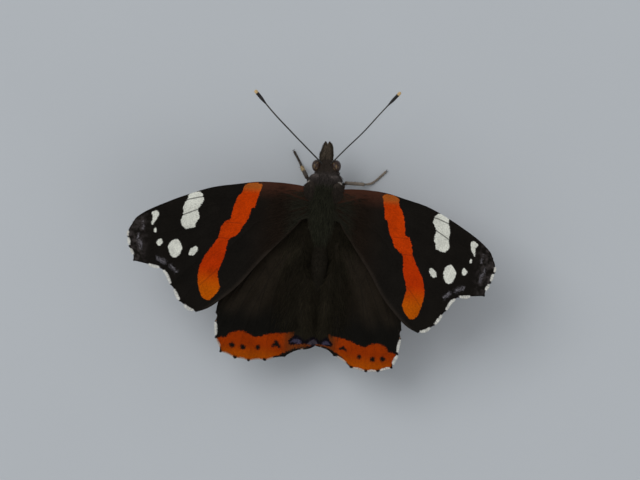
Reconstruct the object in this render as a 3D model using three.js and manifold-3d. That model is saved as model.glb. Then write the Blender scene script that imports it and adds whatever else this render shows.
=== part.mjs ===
// A red admiral butterfly (Vanessa atalanta) at life size, standing with its wings spread.
// Millimetres. +X is the animal's right, +Y its head and +Z up. The feet rest on z = 0.

import * as THREE from 'three';
import { mergeVertices } from 'three/addons/utils/BufferGeometryUtils.js';
import Module from 'manifold-3d';

const wasm = await Module();
wasm.setup();

// Driving dimensions, shared by all pieces
const GAP = 0.3; // clearance that neighbouring pieces keep
const MERGE = 1e-4; // points closer than this are one corner
const BODY_CENTRE_Y = 3.8; // middle of the whole outline, feelers to hind margins

// Wings, in plan: x is measured out from the body's axis and y towards the head
const WING_THICKNESS = 0.5;
const VEIN_HEIGHT = 0.14; // how far a vein stands out of each face
const VEIN_HALF_WIDTH = 0.4;
const OUTLINE_STEP = 0.95; // spacing of the points round a wing
const VEIN_STEP = 1.6; // spacing of the points along a vein
const MEMBRANE_STEP = 2.3; // spacing of the points between the veins
const CLOSEST = 0.25; // points nearer to another one than this are dropped
const SCALLOP_DEPTH = 0.3; // how far the margin dips between two vein ends

const WING_SPAN = 29; // from the root to the tip of a forewing
const WING_ARCH = 0.8; // how far the middle of a wing bows up
const COSTA_ROLL = 0.45; // how far the leading edge bends down
const COSTA_ROLL_WIDTH = 1.3;
const REAR_SAG = 0.006; // bend of the hind margin, per mm squared behind REAR_START
const REAR_START = -6;
const FOLD_DEPTH = 1.6; // how far the inner margin dips beside the abdomen
const FOLD_WIDTH = 2.0;

const FOREWING = {
  root: new THREE.Vector3(2.9, 4.5, 9.3),
  rise: THREE.MathUtils.degToRad(12),
  rolled: true,
  folded: false,
  costa: [[1.0, 10.0], [2.9, 10.3], [4.6, 10.5], [7.5, 10.6], [11, 10.4], [14.5, 9.7], [18.4, 8.85],
    [22.4, 7.3], [26, 5.65], [28.8, 4.2], [30.6, 2.9], [31.2, 2.0]],
  veinEnds: [[31.2, 2.0], [31.95, -0.4], [31.45, -2.2], [30.55, -4.5], [25.85, -5.3],
    [23.9, -7.9], [22.2, -10.5], [19.3, -12.1]],
  innerMargin: [[19.3, -12.1], [17.4, -11.3], [15.6, -9.9], [12.6, -7.0], [9.6, -3.0], [6.6, 0.6],
    [4.2, 3.4], [2.9, 5.0], [1.0, 5.4]],
  veins: {
    subcosta: [[2.6, 8.0], [8.5, 9.6], [13, 9.5], [16.6, 9.2]],
    radius1: [[12.3, 8.5], [16.5, 8.3], [20.6, 8.0]],
    radius2: [[14.8, 7.4], [20.5, 6.6], [24.8, 6.15]],
    radius3: [[20.6, 5.4], [25, 4.95], [28.0, 4.5]],
    radius4: [[23, 4.25], [25.8, 3.6], [28.1, 2.75], [31.2, 2.0]],
    radius5: [[2.6, 7.4], [8, 8.6], [12.3, 8.5], [16.5, 6.6], [20.6, 5.4], [23, 4.25],
      [27.9, 1.55], [31.95, -0.4]],
    media1: [[16.9, 5.2], [20.5, 2.9], [24, 1.3], [27, 0.15], [31.45, -2.2]],
    media2: [[16.9, 3.9], [20.3, 1.9], [23.7, 0.35], [25.9, -1.2], [30.55, -4.5]],
    media3: [[15.8, 2.2], [18.6, 1.1], [20.9, -0.6], [22.5, -2.3], [25.85, -5.3]],
    cellEnd: [[16.5, 6.6], [16.9, 5.2], [16.9, 3.9], [15.8, 2.2]],
    cubitus1: [[2.6, 6.8], [7.5, 5.0], [10.8, 3.5], [13.6, 2.2], [17, -0.6], [20.6, -4.2],
      [23.9, -7.9]],
    cubitus1Fork: [[13.6, 2.2], [15.8, 2.2]],
    cubitus2: [[10.8, 3.5], [14.8, -1.0], [18.6, -5.8], [22.2, -10.5]],
    anal: [[2.6, 6.2], [7.5, 2.1], [13.5, -5.6], [19.3, -12.1]],
  },
};

const HINDWING = {
  root: new THREE.Vector3(2.8, 0.5, 8.2),
  rise: THREE.MathUtils.degToRad(10),
  rolled: false,
  folded: true,
  costa: [[1.0, 6.2], [2.8, 6.3], [5, 5.4], [8.5, 2.8], [12, -1.8], [14.6, -6.2], [15.9, -9.6],
    [16.35, -11.9]],
  veinEnds: [[16.35, -11.9], [16.1, -13.8], [15.8, -16.0], [14.95, -18.35], [12.6, -19.2],
    [10.35, -19.45], [7.6, -19.1], [4.4, -17.75], [1.6, -16.45]],
  innerMargin: [[1.6, -16.45], [0.6, -16.1], [0.1, -15.3], [0.1, -11.2], [0.35, -9.4],
    [0.8, -7.6], [1.4, -5], [1.5, -1], [1.4, 1.2], [1.0, 1.8]],
  veins: {
    subcosta: [[2.6, 3.9], [8, 1.7], [12.5, -4.5], [16.35, -11.9]],
    radius: [[6.6, 2.3], [11, -4.2], [14.3, -9.8], [16.1, -13.8]],
    media1: [[9, -1.3], [12.6, -8], [15.8, -16]],
    media2: [[8.6, -3.4], [12, -10], [14.95, -18.35]],
    media3: [[7.9, -5.3], [10.6, -12], [12.6, -19.2]],
    cubitus1: [[2.6, 2.6], [5.4, -1.4], [7.9, -5.3], [9.4, -12], [10.35, -19.45]],
    cubitus2: [[5.4, -1.4], [7.1, -10], [7.6, -19.1]],
    cellEnd: [[9, -1.3], [8.6, -3.4], [7.9, -5.3]],
    anal2: [[3.1, 1.2], [4.5, -7], [4.4, -17.75]],
    anal3: [[2.9, 0.2], [2.75, -6], [2.2, -11.5], [1.6, -16.45]],
  },
};

// How far each side's wings are swept back from the plan
const SWEEP_BACK = { left: 0, right: THREE.MathUtils.degToRad(1.5) };

// Body: half width, half height and height of the centre at places along the body's axis
const THORAX_SIDES = 26;
const THORAX_ROWS = 18;
const THORAX_POWER = 2.3; // squareness of the section
const THORAX = [
  { y: 12.3, wide: 1.8, high: 1.35, centre: 7.3 },
  { y: 11.9, wide: 2.1, high: 1.75, centre: 7.3 },
  { y: 10.6, wide: 2.35, high: 2.3, centre: 7.3 },
  { y: 8.5, wide: 2.65, high: 2.8, centre: 7.3 },
  { y: 6.0, wide: 2.7, high: 2.9, centre: 7.2 },
  { y: 3.8, wide: 2.4, high: 2.55, centre: 7.0 },
  { y: 2.2, wide: 1.95, high: 2.05, centre: 6.95 },
  { y: 1.3, wide: 1.5, high: 1.55, centre: 6.95 },
];

const TEGULA = { x: 2.2, y: 9.8, z: 8.9, wide: 1.1, long: 1.5, high: 0.9, sides: 14, rows: 10 };

const ABDOMEN_SIDES = 20;
const ABDOMEN_ROWS = 32;
const ABDOMEN_POWER = 2.1;
const ABDOMEN_SEGMENTS = 8;
const SEGMENT_GROOVE = 0.07; // depth of the groove between two segments
const ABDOMEN = [
  { y: 1.0, wide: 1.45, high: 1.5, centre: 6.9 },
  { y: 0, wide: 1.65, high: 1.72, centre: 6.8 },
  { y: -2, wide: 1.7, high: 1.78, centre: 6.55 },
  { y: -4, wide: 1.6, high: 1.66, centre: 6.2 },
  { y: -6, wide: 1.3, high: 1.38, centre: 5.85 },
  { y: -7.6, wide: 0.92, high: 1.0, centre: 5.55 },
  { y: -8.5, wide: 0.55, high: 0.62, centre: 5.4 },
  { y: -8.9, wide: 0.22, high: 0.26, centre: 5.35 },
];

// The head and what grows on it, in a frame at the neck that is turned a little to the left
const NECK = new THREE.Vector3(0, 12.6, 7.2);
const HEAD_TURN = THREE.MathUtils.degToRad(3);
const HEAD_SIDES = 22;
const HEAD_ROWS = 12;
const HEAD_POWER = 2.2;
const HEAD = [
  { y: 2.6, wide: 0.5, high: 0.7, centre: -0.15 },
  { y: 2.35, wide: 1.0, high: 1.15, centre: -0.1 },
  { y: 1.7, wide: 1.45, high: 1.55, centre: 0 },
  { y: 1.0, wide: 1.65, high: 1.65, centre: 0.05 },
  { y: 0.4, wide: 1.85, high: 1.5, centre: 0.05 },
  { y: 0, wide: 1.75, high: 1.3, centre: 0.05 },
];
const EYE = { x: 1.5, y: 1.45, z: 0.15, wide: 0.9, long: 1.05, high: 1.22, sides: 18, rows: 12 };
const PALP = {
  path: [[0.6, 2.1, -0.9], [0.64, 3.2, -0.75], [0.58, 4.4, -0.2], [0.42, 5.6, 0.5]],
  radii: [0.42, 0.48, 0.4, 0.24],
  rows: 10,
  sides: 10,
};
const PROBOSCIS = { y: 2.0, z: -2.95, outer: 1.3, inner: 0.45, radius: 0.25, turns: 1.5, rows: 30, sides: 8 };
const ANTENNA = {
  left: [[0.75, 2.0, 1.2], [2.5, 3.7, 2.1], [3.9, 5.0, 2.7], [6.75, 8.1, 3.9], [8.7, 9.9, 4.4],
    [10.15, 11.6, 4.7], [11.8, 13.6, 4.8]],
  right: [[0.75, 2.0, 1.2], [2.55, 3.6, 2.1], [4.7, 5.3, 3.0], [7.05, 7.6, 3.8], [9.0, 9.75, 4.4],
    [10.9, 11.75, 4.7], [12.8, 13.8, 4.8]],
  radii: [0.3, 0.26, 0.26, 0.26, 0.26, 0.26, 0.27, 0.38, 0.4, 0.26],
  rows: 26,
  sides: 8,
};

// Legs: the joints of a right leg from the hip to the claws. Left ones are mirrored.
const LEG_SIDES = 8;
const FOOT_LEVEL = 0; // the tarsi are flat below at this height
const LEG_RADII = { hip: 0.55, trochanter: 0.4, femur: 0.5, knee: 0.34, tibia: 0.32, ankle: 0.27, tarsus: 0.26, claw: 0.2 };
const WALKING_LEGS = {
  mid_left: [[1.2, 7.6, 5.4], [1.7, 8.0, 4.0], [3.6, 11.9, 5.7], [5.7, 14.0, 0.7], [6.2, 14.8, 0.22],
    [7.4, 16.7, 0.22]],
  mid_right: [[1.2, 7.6, 5.4], [1.7, 8.0, 4.0], [2.7, 11.6, 5.3], [5.4, 11.8, 0.8], [6.7, 12.3, 0.22],
    [8.8, 14.4, 0.22]],
  hind_left: [[1.2, 4.2, 5.2], [1.8, 3.7, 4.0], [4.9, 0.8, 5.6], [6.8, -2.0, 0.7], [7.1, -2.7, 0.22],
    [7.9, -6.1, 0.22]],
  hind_right: [[1.2, 4.2, 5.2], [1.8, 3.7, 4.0], [4.9, 0.7, 5.6], [6.7, -2.2, 0.7], [7.0, -2.9, 0.22],
    [7.6, -6.4, 0.22]],
};
const FORELEG = {
  path: [[0.95, 9.9, 5.6], [1.0, 11.2, 4.4], [0.95, 12.4, 4.7], [0.9, 13.4, 4.9]],
  radii: [0.4, 0.42, 0.32, 0.25],
  rows: 10,
  sides: 8,
};

const MATERIALS = {
  darkHair: new THREE.MeshStandardMaterial({ color: 0x33291d, roughness: 0.95 }),
  abdomen: new THREE.MeshStandardMaterial({ color: 0x3a2e20, roughness: 0.9 }),
  eye: new THREE.MeshStandardMaterial({ color: 0x5a3321, roughness: 0.35 }),
  palp: new THREE.MeshStandardMaterial({ color: 0x3b2c20, roughness: 0.9 }),
  antenna: new THREE.MeshStandardMaterial({ color: 0x14100d, roughness: 0.6 }),
  forewing: new THREE.MeshStandardMaterial({ color: 0x1d1512, roughness: 0.8 }),
  hindwing: new THREE.MeshStandardMaterial({ color: 0x241b13, roughness: 0.8 }),
  leg: new THREE.MeshStandardMaterial({ color: 0x8a6f4e, roughness: 0.7 }),
};

// Solids

function toSolid(geometry) {
  const bare = new THREE.BufferGeometry();
  bare.setAttribute('position', geometry.attributes.position.clone());
  bare.setIndex(geometry.index.clone());
  const merged = mergeVertices(bare, MERGE);
  return new wasm.Manifold(new wasm.Mesh({
    numProp: 3,
    vertProperties: new Float32Array(merged.attributes.position.array),
    triVerts: new Uint32Array(merged.index.array),
  }));
}

function toGeometry(solid) {
  const pieces = solid.decompose().sort((a, b) => b.volume() - a.volume());
  const mesh = pieces[0].getMesh();
  const geometry = new THREE.BufferGeometry();
  geometry.setAttribute('position', new THREE.BufferAttribute(new Float32Array(mesh.vertProperties), 3));
  geometry.setIndex(new THREE.BufferAttribute(new Uint32Array(mesh.triVerts), 1));
  geometry.computeVertexNormals();
  return geometry;
}

function cutBy(geometry, cutters) {
  let solid = toSolid(geometry);
  for (const cutter of cutters) {
    solid = solid.subtract(toSolid(cutter));
  }
  return toGeometry(solid);
}

// Moves each corner of a geometry by a function of its place.
function bend(geometry, place) {
  const position = geometry.attributes.position;
  const corner = new THREE.Vector3();
  for (let i = 0; i < position.count; i += 1) {
    corner.fromBufferAttribute(position, i);
    const moved = place(corner);
    position.setXYZ(i, moved.x, moved.y, moved.z);
  }
  return geometry;
}

function mirrored(geometry) {
  geometry.scale(-1, 1, 1);
  const index = geometry.index.array;
  for (let i = 0; i < index.length; i += 3) {
    [index[i + 1], index[i + 2]] = [index[i + 2], index[i + 1]];
  }
  return geometry;
}

// Reads a list of evenly spaced values at t, from 0 at its first to 1 at its last.
function valueAlong(values, t) {
  const place = THREE.MathUtils.clamp(t, 0, 1) * (values.length - 1);
  const start = Math.min(Math.floor(place), values.length - 2);
  return THREE.MathUtils.lerp(values[start], values[start + 1], place - start);
}

// Body shapes, lofted along the axis from the front station to the rear one

function stationAt(stations, y) {
  const last = stations.length - 1;
  const next = Math.min(Math.max(stations.findIndex((s) => s.y <= y), 1), last);
  const front = stations[next - 1];
  const rear = stations[next];
  const t = THREE.MathUtils.smoothstep(front.y - y, 0, front.y - rear.y) * 0.3
    + THREE.MathUtils.clamp((front.y - y) / (front.y - rear.y), 0, 1) * 0.7;
  const mix = (key) => THREE.MathUtils.lerp(front[key], rear[key], t);
  return { wide: mix('wide'), high: mix('high'), centre: mix('centre') };
}

// A ring's point at the given direction, on a section between an ellipse and a rectangle.
function sectionPoint(across, up, power) {
  const size = (Math.abs(across) ** power + Math.abs(up) ** power) ** (1 / power);
  return size === 0 ? [0, 0] : [across / size, up / size];
}

function loft(stations, { sides, rows, power, grow = 0, shrink = () => 0 }) {
  const front = stations[0].y;
  const rear = stations[stations.length - 1].y;
  return bend(new THREE.CylinderGeometry(1, 1, 1, sides, rows), (corner) => {
    const t = 0.5 - corner.y;
    const y = THREE.MathUtils.lerp(front, rear, t);
    const { wide, high, centre } = stationAt(stations, y);
    const [across, up] = sectionPoint(corner.x, corner.z, power);
    const inset = shrink(t);
    return new THREE.Vector3(
      across * (wide + grow - inset),
      y + grow * (1 - 2 * t),
      centre + up * (high + grow - inset),
    );
  });
}

// The thorax, with the flap that covers the root of each forewing.
function thorax(grow = 0) {
  let solid = toSolid(loft(THORAX, { sides: THORAX_SIDES, rows: THORAX_ROWS, power: THORAX_POWER, grow }));
  for (const side of [1, -1]) {
    const flap = new THREE.SphereGeometry(1, TEGULA.sides, TEGULA.rows);
    flap.scale(TEGULA.wide + grow, TEGULA.long + grow, TEGULA.high + grow);
    flap.translate(side * TEGULA.x, TEGULA.y, TEGULA.z);
    solid = solid.add(toSolid(flap));
  }
  return toGeometry(solid);
}

function abdomen(grow = 0) {
  const groove = (t) => {
    const phase = Math.abs(Math.cos(Math.PI * ABDOMEN_SEGMENTS * t));
    return t > 0 && t < 1 ? SEGMENT_GROOVE * phase ** 3 : 0;
  };
  return loft(ABDOMEN, {
    sides: ABDOMEN_SIDES, rows: ABDOMEN_ROWS, power: ABDOMEN_POWER, grow, shrink: grow ? () => 0 : groove,
  });
}

function headShape(grow = 0) {
  return loft(HEAD, { sides: HEAD_SIDES, rows: HEAD_ROWS, power: HEAD_POWER, grow });
}

// Round pieces that follow a path

function tube(points, radii, { sides, rows, sideways }) {
  const curve = new THREE.CatmullRomCurve3(points, false, 'centripetal');
  return sweep((t) => curve.getPointAt(t), (t) => valueAlong(radii, t), { sides, rows, sideways });
}

// Bends a cylinder along a path. sideways is a direction that the path never follows.
function sweep(pathAt, radiusAt, { sides, rows, sideways }) {
  const step = 1e-3;
  return bend(new THREE.CylinderGeometry(1, 1, 1, sides, rows), (corner) => {
    const t = THREE.MathUtils.clamp(0.5 - corner.y, 0, 1);
    const here = pathAt(t);
    const along = pathAt(Math.min(t + step, 1)).clone().sub(pathAt(Math.max(t - step, 0))).normalize();
    const right = sideways.clone().addScaledVector(along, -sideways.dot(along)).normalize();
    const up = new THREE.Vector3().crossVectors(along, right);
    const radius = radiusAt(t);
    return here.clone().addScaledVector(right, corner.x * radius).addScaledVector(up, corner.z * radius);
  });
}

function vectors(list) {
  return list.map((point) => new THREE.Vector3(...point));
}

function antenna(name) {
  return tube(vectors(ANTENNA[name]), ANTENNA.radii, {
    sides: ANTENNA.sides, rows: ANTENNA.rows, sideways: new THREE.Vector3(1, -1, 0),
  });
}

function palp() {
  return tube(vectors(PALP.path), PALP.radii, {
    sides: PALP.sides, rows: PALP.rows, sideways: new THREE.Vector3(1, 0, 0),
  });
}

function proboscis() {
  const { y, z, outer, inner, radius, turns, rows, sides } = PROBOSCIS;
  const pathAt = (t) => {
    const angle = Math.PI / 2 - 2 * Math.PI * turns * t;
    const reach = THREE.MathUtils.lerp(outer, inner, t);
    return new THREE.Vector3(0, y + reach * Math.cos(angle), z + reach * Math.sin(angle));
  };
  return sweep(pathAt, () => radius, { sides, rows, sideways: new THREE.Vector3(1, 0, 0) });
}

function foreleg() {
  return tube(vectors(FORELEG.path), FORELEG.radii, {
    sides: FORELEG.sides, rows: FORELEG.rows, sideways: new THREE.Vector3(1, 0, 0),
  });
}

// The stations of a walking leg: rings at the joints, and close before and after each.
function legStations(joints) {
  const r = LEG_RADII;
  const [hip, trochanter, knee, ankle, heel, claw] = vectors(joints);
  const stations = [{ at: hip, radius: r.hip }];
  const segments = [
    { from: hip, to: trochanter, radii: [r.hip, r.hip, r.trochanter] },
    { from: trochanter, to: knee, radii: [r.trochanter, r.femur, r.knee] },
    { from: knee, to: ankle, radii: [r.knee, r.tibia, r.ankle] },
    { from: ankle, to: heel, radii: [r.ankle, r.tarsus, r.tarsus] },
    { from: heel, to: claw, radii: [r.tarsus, r.tarsus, r.claw] },
  ];
  const places = [0.12, 0.35, 0.65, 0.88, 1];
  for (const { from, to, radii } of segments) {
    for (const t of places) {
      stations.push({ at: from.clone().lerp(to, t), radius: valueAlong(radii, t) });
    }
  }
  return stations;
}

function walkingLeg(joints) {
  const stations = legStations(joints);
  const rows = stations.length - 1;
  const knee = new THREE.Vector3(...joints[2]);
  const hip = new THREE.Vector3(...joints[0]);
  const outwards = knee.sub(hip).setZ(0).normalize();
  const sideways = new THREE.Vector3(-outwards.y, outwards.x, 0);
  const geometry = bend(new THREE.CylinderGeometry(1, 1, 1, LEG_SIDES, rows), (corner) => {
    const i = THREE.MathUtils.clamp(Math.round((0.5 - corner.y) * rows), 0, rows);
    const before = stations[Math.max(i - 1, 0)].at;
    const after = stations[Math.min(i + 1, rows)].at;
    const along = after.clone().sub(before).normalize();
    const right = sideways.clone().addScaledVector(along, -sideways.dot(along)).normalize();
    const up = new THREE.Vector3().crossVectors(along, right);
    const { at, radius } = stations[i];
    return at.clone().addScaledVector(right, corner.x * radius).addScaledVector(up, corner.z * radius);
  });
  return bend(geometry, (corner) => corner.clone().setZ(Math.max(corner.z, FOOT_LEVEL)));
}

// Wings

function plainCurve(points, step) {
  const curve = new THREE.SplineCurve(points.map(([x, y]) => new THREE.Vector2(x, y)));
  const pieces = Math.max(1, Math.round(curve.getLength() / step));
  return curve.getSpacedPoints(pieces).map((p) => [p.x, p.y]);
}

// One scallop of the margin: it leaves a vein end, dips inwards and meets the next.
function scallop(from, to) {
  const length = Math.hypot(to[0] - from[0], to[1] - from[1]);
  const inwards = [(to[1] - from[1]) / length, (from[0] - to[0]) / length];
  const pieces = Math.max(2, Math.round(length / OUTLINE_STEP));
  const depth = Math.min(SCALLOP_DEPTH, length / 8);
  const points = [];
  for (let i = 1; i <= pieces; i += 1) {
    const t = i / pieces;
    const dip = depth * Math.sin(Math.PI * t) ** 2;
    points.push([
      from[0] + (to[0] - from[0]) * t + inwards[0] * dip,
      from[1] + (to[1] - from[1]) * t + inwards[1] * dip,
    ]);
  }
  return points;
}

function wingOutline(wing) {
  const outline = plainCurve(wing.costa, OUTLINE_STEP);
  for (let i = 1; i < wing.veinEnds.length; i += 1) {
    outline.push(...scallop(wing.veinEnds[i - 1], wing.veinEnds[i]));
  }
  outline.push(...plainCurve(wing.innerMargin, OUTLINE_STEP).slice(1));
  return outline;
}

function distanceToLine([x, y], line) {
  let nearest = Infinity;
  for (let i = 1; i < line.length; i += 1) {
    const [ax, ay] = line[i - 1];
    const [bx, by] = line[i];
    const lengthSquared = (bx - ax) ** 2 + (by - ay) ** 2;
    const t = THREE.MathUtils.clamp(((x - ax) * (bx - ax) + (y - ay) * (by - ay)) / lengthSquared, 0, 1);
    nearest = Math.min(nearest, Math.hypot(x - ax - (bx - ax) * t, y - ay - (by - ay) * t));
  }
  return nearest;
}

function isInside([x, y], outline) {
  let inside = false;
  outline.forEach(([ax, ay], i) => {
    const [bx, by] = outline[(i + 1) % outline.length];
    if ((ay > y) !== (by > y) && x < ax + ((y - ay) / (by - ay)) * (bx - ax)) {
      inside = !inside;
    }
  });
  return inside;
}

// Points for the wing's triangles: the outline, each vein's crest and feet, and the membrane.
function wingPoints(outline, veinLines) {
  const points = [...outline];
  const rim = [...outline, outline[0]];
  const add = (point) => {
    const clear = points.every((p) => Math.hypot(p[0] - point[0], p[1] - point[1]) > CLOSEST);
    if (clear && isInside(point, outline) && distanceToLine(point, rim) > CLOSEST) {
      points.push(point);
    }
  };
  veinLines.forEach((line) => line.forEach(add));
  veinLines.forEach((line) => line.forEach(([x, y], i) => {
    const [ax, ay] = line[Math.max(i - 1, 0)];
    const [bx, by] = line[Math.min(i + 1, line.length - 1)];
    const length = Math.hypot(bx - ax, by - ay);
    const [across, up] = [(-(by - ay) / length) * VEIN_HALF_WIDTH, ((bx - ax) / length) * VEIN_HALF_WIDTH];
    add([x + across, y + up]);
    add([x - across, y - up]);
  }));
  addMembranePoints(outline, points, add);
  return points;
}

function addMembranePoints(outline, points, add) {
  const xs = outline.map((p) => p[0]);
  const ys = outline.map((p) => p[1]);
  for (let x = Math.min(...xs); x < Math.max(...xs); x += MEMBRANE_STEP) {
    for (let y = Math.min(...ys); y < Math.max(...ys); y += MEMBRANE_STEP) {
      const nearest = Math.min(...points.map((p) => Math.hypot(p[0] - x, p[1] - y)));
      if (nearest > MEMBRANE_STEP / 2) {
        add([x, y]);
      }
    }
  }
}

// Delaunay triangles: each point in turn replaces the triangles whose circle holds it.
function delaunay(points) {
  const far = 1000;
  const all = [...points.map(loosen), [-far, -far], [far, -far], [0, far]];
  const first = points.length;
  let triangles = [circled(all, first, first + 1, first + 2)];
  for (let i = 0; i < first; i += 1) {
    const [x, y] = all[i];
    const held = triangles.filter((t) => (x - t.x) ** 2 + (y - t.y) ** 2 < t.radiusSquared);
    const edges = new Map();
    for (const { corners: [a, b, c] } of held) {
      for (const [from, to] of [[a, b], [b, c], [c, a]]) {
        if (!edges.delete(`${to} ${from}`)) {
          edges.set(`${from} ${to}`, [from, to]);
        }
      }
    }
    const dropped = new Set(held);
    triangles = triangles.filter((t) => !dropped.has(t));
    edges.forEach(([from, to]) => triangles.push(circled(all, from, to, i)));
  }
  return triangles.map((t) => t.corners).filter((corners) => Math.max(...corners) < first);
}

// Moves a point by a hair, so that no four points lie on one circle.
function loosen([x, y], i) {
  const hair = 1e-4;
  return [x + hair * Math.sin(i * 12.9), y + hair * Math.sin(i * 78.2)];
}

function circled(points, a, b, c) {
  const [ax, ay] = points[a];
  const [bx, by] = [points[b][0] - ax, points[b][1] - ay];
  const [cx, cy] = [points[c][0] - ax, points[c][1] - ay];
  const area = 2 * (bx * cy - by * cx);
  const x = (cy * (bx * bx + by * by) - by * (cx * cx + cy * cy)) / area;
  const y = (bx * (cx * cx + cy * cy) - cx * (bx * bx + by * by)) / area;
  return { corners: [a, b, c], x: ax + x, y: ay + y, radiusSquared: x * x + y * y };
}

// x of the hindwing's inner margin at the given y, where the fold beside the abdomen ends.
function foldEdge(y) {
  return THREE.MathUtils.lerp(0.2, 1.7, THREE.MathUtils.smoothstep(y, -11.5, -4));
}

// Height of the wing's middle surface over its flat plan.
function camber(wing, x, y) {
  let height = WING_ARCH * Math.sin(Math.PI * THREE.MathUtils.clamp((x - wing.root.x) / WING_SPAN, 0, 1));
  height -= REAR_SAG * Math.max(0, REAR_START - y) ** 2;
  if (wing.rolled) {
    const behindCosta = 10.6 - 0.015 * Math.max(0, x - 7.5) ** 2 - y;
    height -= COSTA_ROLL * Math.exp(-((behindCosta / COSTA_ROLL_WIDTH) ** 2));
  }
  if (wing.folded) {
    const down = 1 - THREE.MathUtils.smoothstep(x - foldEdge(y), 0, FOLD_WIDTH);
    height -= FOLD_DEPTH * down * THREE.MathUtils.smoothstep(-y, -3, 3);
  }
  return height;
}

function wingPlace(wing, x, y) {
  const out = x - wing.root.x;
  return new THREE.Vector3(
    out * Math.cos(wing.rise),
    y - wing.root.y,
    out * Math.sin(wing.rise) + camber(wing, x, y),
  );
}

function wingNormal(wing, x, y) {
  const step = 0.05;
  const along = wingPlace(wing, x + step, y).sub(wingPlace(wing, x - step, y));
  const forwards = wingPlace(wing, x, y + step).sub(wingPlace(wing, x, y - step));
  return along.cross(forwards).normalize();
}

// A right wing about its own root: both faces share their triangles, and a rim joins them.
function wingGeometry(wing) {
  const outline = wingOutline(wing);
  const veinLines = Object.values(wing.veins).map((vein) => plainCurve(vein, VEIN_STEP));
  const points = wingPoints(outline, veinLines);
  const positions = [];
  const faces = [];
  for (const side of [1, -1]) {
    for (const [x, y] of points) {
      const nearest = Math.min(...veinLines.map((line) => distanceToLine([x, y], line)));
      const ridge = VEIN_HEIGHT * Math.max(0, 1 - nearest / VEIN_HALF_WIDTH);
      const half = WING_THICKNESS / 2 + ridge;
      positions.push(...wingPlace(wing, x, y).addScaledVector(wingNormal(wing, x, y), side * half));
    }
  }
  const rim = new Map();
  for (const [a, b, c] of delaunay(points)) {
    const middle = [0, 1].map((k) => (points[a][k] + points[b][k] + points[c][k]) / 3);
    if (!isInside(middle, outline)) {
      continue;
    }
    faces.push(a, b, c, points.length + a, points.length + c, points.length + b);
    for (const [from, to] of [[a, b], [b, c], [c, a]]) {
      if (!rim.delete(`${to} ${from}`)) {
        rim.set(`${from} ${to}`, [from, to]);
      }
    }
  }
  for (const [from, to] of rim.values()) {
    faces.push(from, points.length + from, points.length + to, from, points.length + to, to);
  }
  const geometry = new THREE.BufferGeometry();
  geometry.setAttribute('position', new THREE.Float32BufferAttribute(positions, 3));
  geometry.setIndex(faces);
  return geometry;
}

// Assembly

const butterfly = new THREE.Group();
butterfly.position.y = -BODY_CENTRE_Y;
const head = new THREE.Group();
head.position.copy(NECK);
head.rotation.z = HEAD_TURN;
butterfly.add(head);

function addPiece(parent, name, geometry, material) {
  const mesh = new THREE.Mesh(geometry, material);
  mesh.name = name;
  parent.add(mesh);
  return mesh;
}

function addBody() {
  addPiece(butterfly, 'thorax', thorax(), MATERIALS.darkHair);
  addPiece(butterfly, 'abdomen', abdomen(), MATERIALS.abdomen);
}

function eye(side, grow = 0) {
  const geometry = new THREE.SphereGeometry(1, EYE.sides, EYE.rows);
  geometry.scale(EYE.wide + grow, EYE.long + grow, EYE.high + grow);
  geometry.translate(side * EYE.x, EYE.y, EYE.z);
  return geometry;
}

function addHead() {
  addPiece(head, 'head', cutBy(headShape(), [eye(1, GAP), eye(-1, GAP)]), MATERIALS.darkHair);
  addPiece(head, 'proboscis', cutBy(proboscis(), [headShape(GAP)]), MATERIALS.antenna);
  for (const [side, name] of [[-1, 'left'], [1, 'right']]) {
    const sided = (geometry) => (side < 0 ? mirrored(geometry) : geometry);
    addPiece(head, `eye_${name}`, eye(side), MATERIALS.eye);
    addPiece(head, `palp_${name}`, cutBy(sided(palp()), [headShape(GAP)]), MATERIALS.palp);
    const feeler = cutBy(sided(antenna(name)), [headShape(GAP), eye(side, GAP)]);
    addPiece(head, `antenna_${name}`, feeler, MATERIALS.antenna);
  }
}

function addLegs() {
  for (const [name, joints] of Object.entries(WALKING_LEGS)) {
    const leg = walkingLeg(joints);
    const sided = name.endsWith('left') ? mirrored(leg) : leg;
    addPiece(butterfly, `leg_${name}`, cutBy(sided, [thorax(GAP)]), MATERIALS.leg);
  }
  for (const name of ['left', 'right']) {
    const leg = name === 'left' ? mirrored(foreleg()) : foreleg();
    addPiece(butterfly, `leg_fore_${name}`, cutBy(leg, [thorax(GAP)]), MATERIALS.leg);
  }
}

// What a hindwing keeps clear of beyond the body's middle plane.
function beyondMiddle(side) {
  const size = 40;
  const box = new THREE.BoxGeometry(size, size, size);
  box.translate(side * (GAP / 2 - size / 2), -size / 2 - 2, 0);
  return box;
}

function addWing(name, wing, side, sweepBack, material) {
  const mesh = addPiece(butterfly, name, wingGeometry(wing), material);
  mesh.position.set(side * wing.root.x, wing.root.y, wing.root.z);
  mesh.rotation.z = -side * sweepBack;
  mesh.updateMatrix();
  const toWing = mesh.matrix.clone().invert();
  const cutters = [thorax(GAP), abdomen(GAP), beyondMiddle(side)].map((c) => c.applyMatrix4(toWing));
  mesh.geometry = cutBy(side < 0 ? mirrored(mesh.geometry) : mesh.geometry, cutters);
}

function addWings() {
  for (const [side, name] of [[-1, 'left'], [1, 'right']]) {
    addWing(`forewing_${name}`, FOREWING, side, SWEEP_BACK[name], MATERIALS.forewing);
    addWing(`hindwing_${name}`, HINDWING, side, SWEEP_BACK[name], MATERIALS.hindwing);
  }
}

addBody();
addHead();
addLegs();
addWings();

export default butterfly;
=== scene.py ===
"""A red admiral butterfly at life size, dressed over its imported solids.

Sizes are millimetres in body coordinates: x to the animal's right, y to its head and z up, with the
feet on z = 0. The meshes themselves are in metres, in the frame of the solids.
"""

import enum
import logging
import math
from collections.abc import Callable, Iterator, Mapping, Sequence
from dataclasses import dataclass, field, fields
from typing import ClassVar

import bmesh
import bpy
import numpy as np
from mathutils import Matrix, Vector


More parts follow.
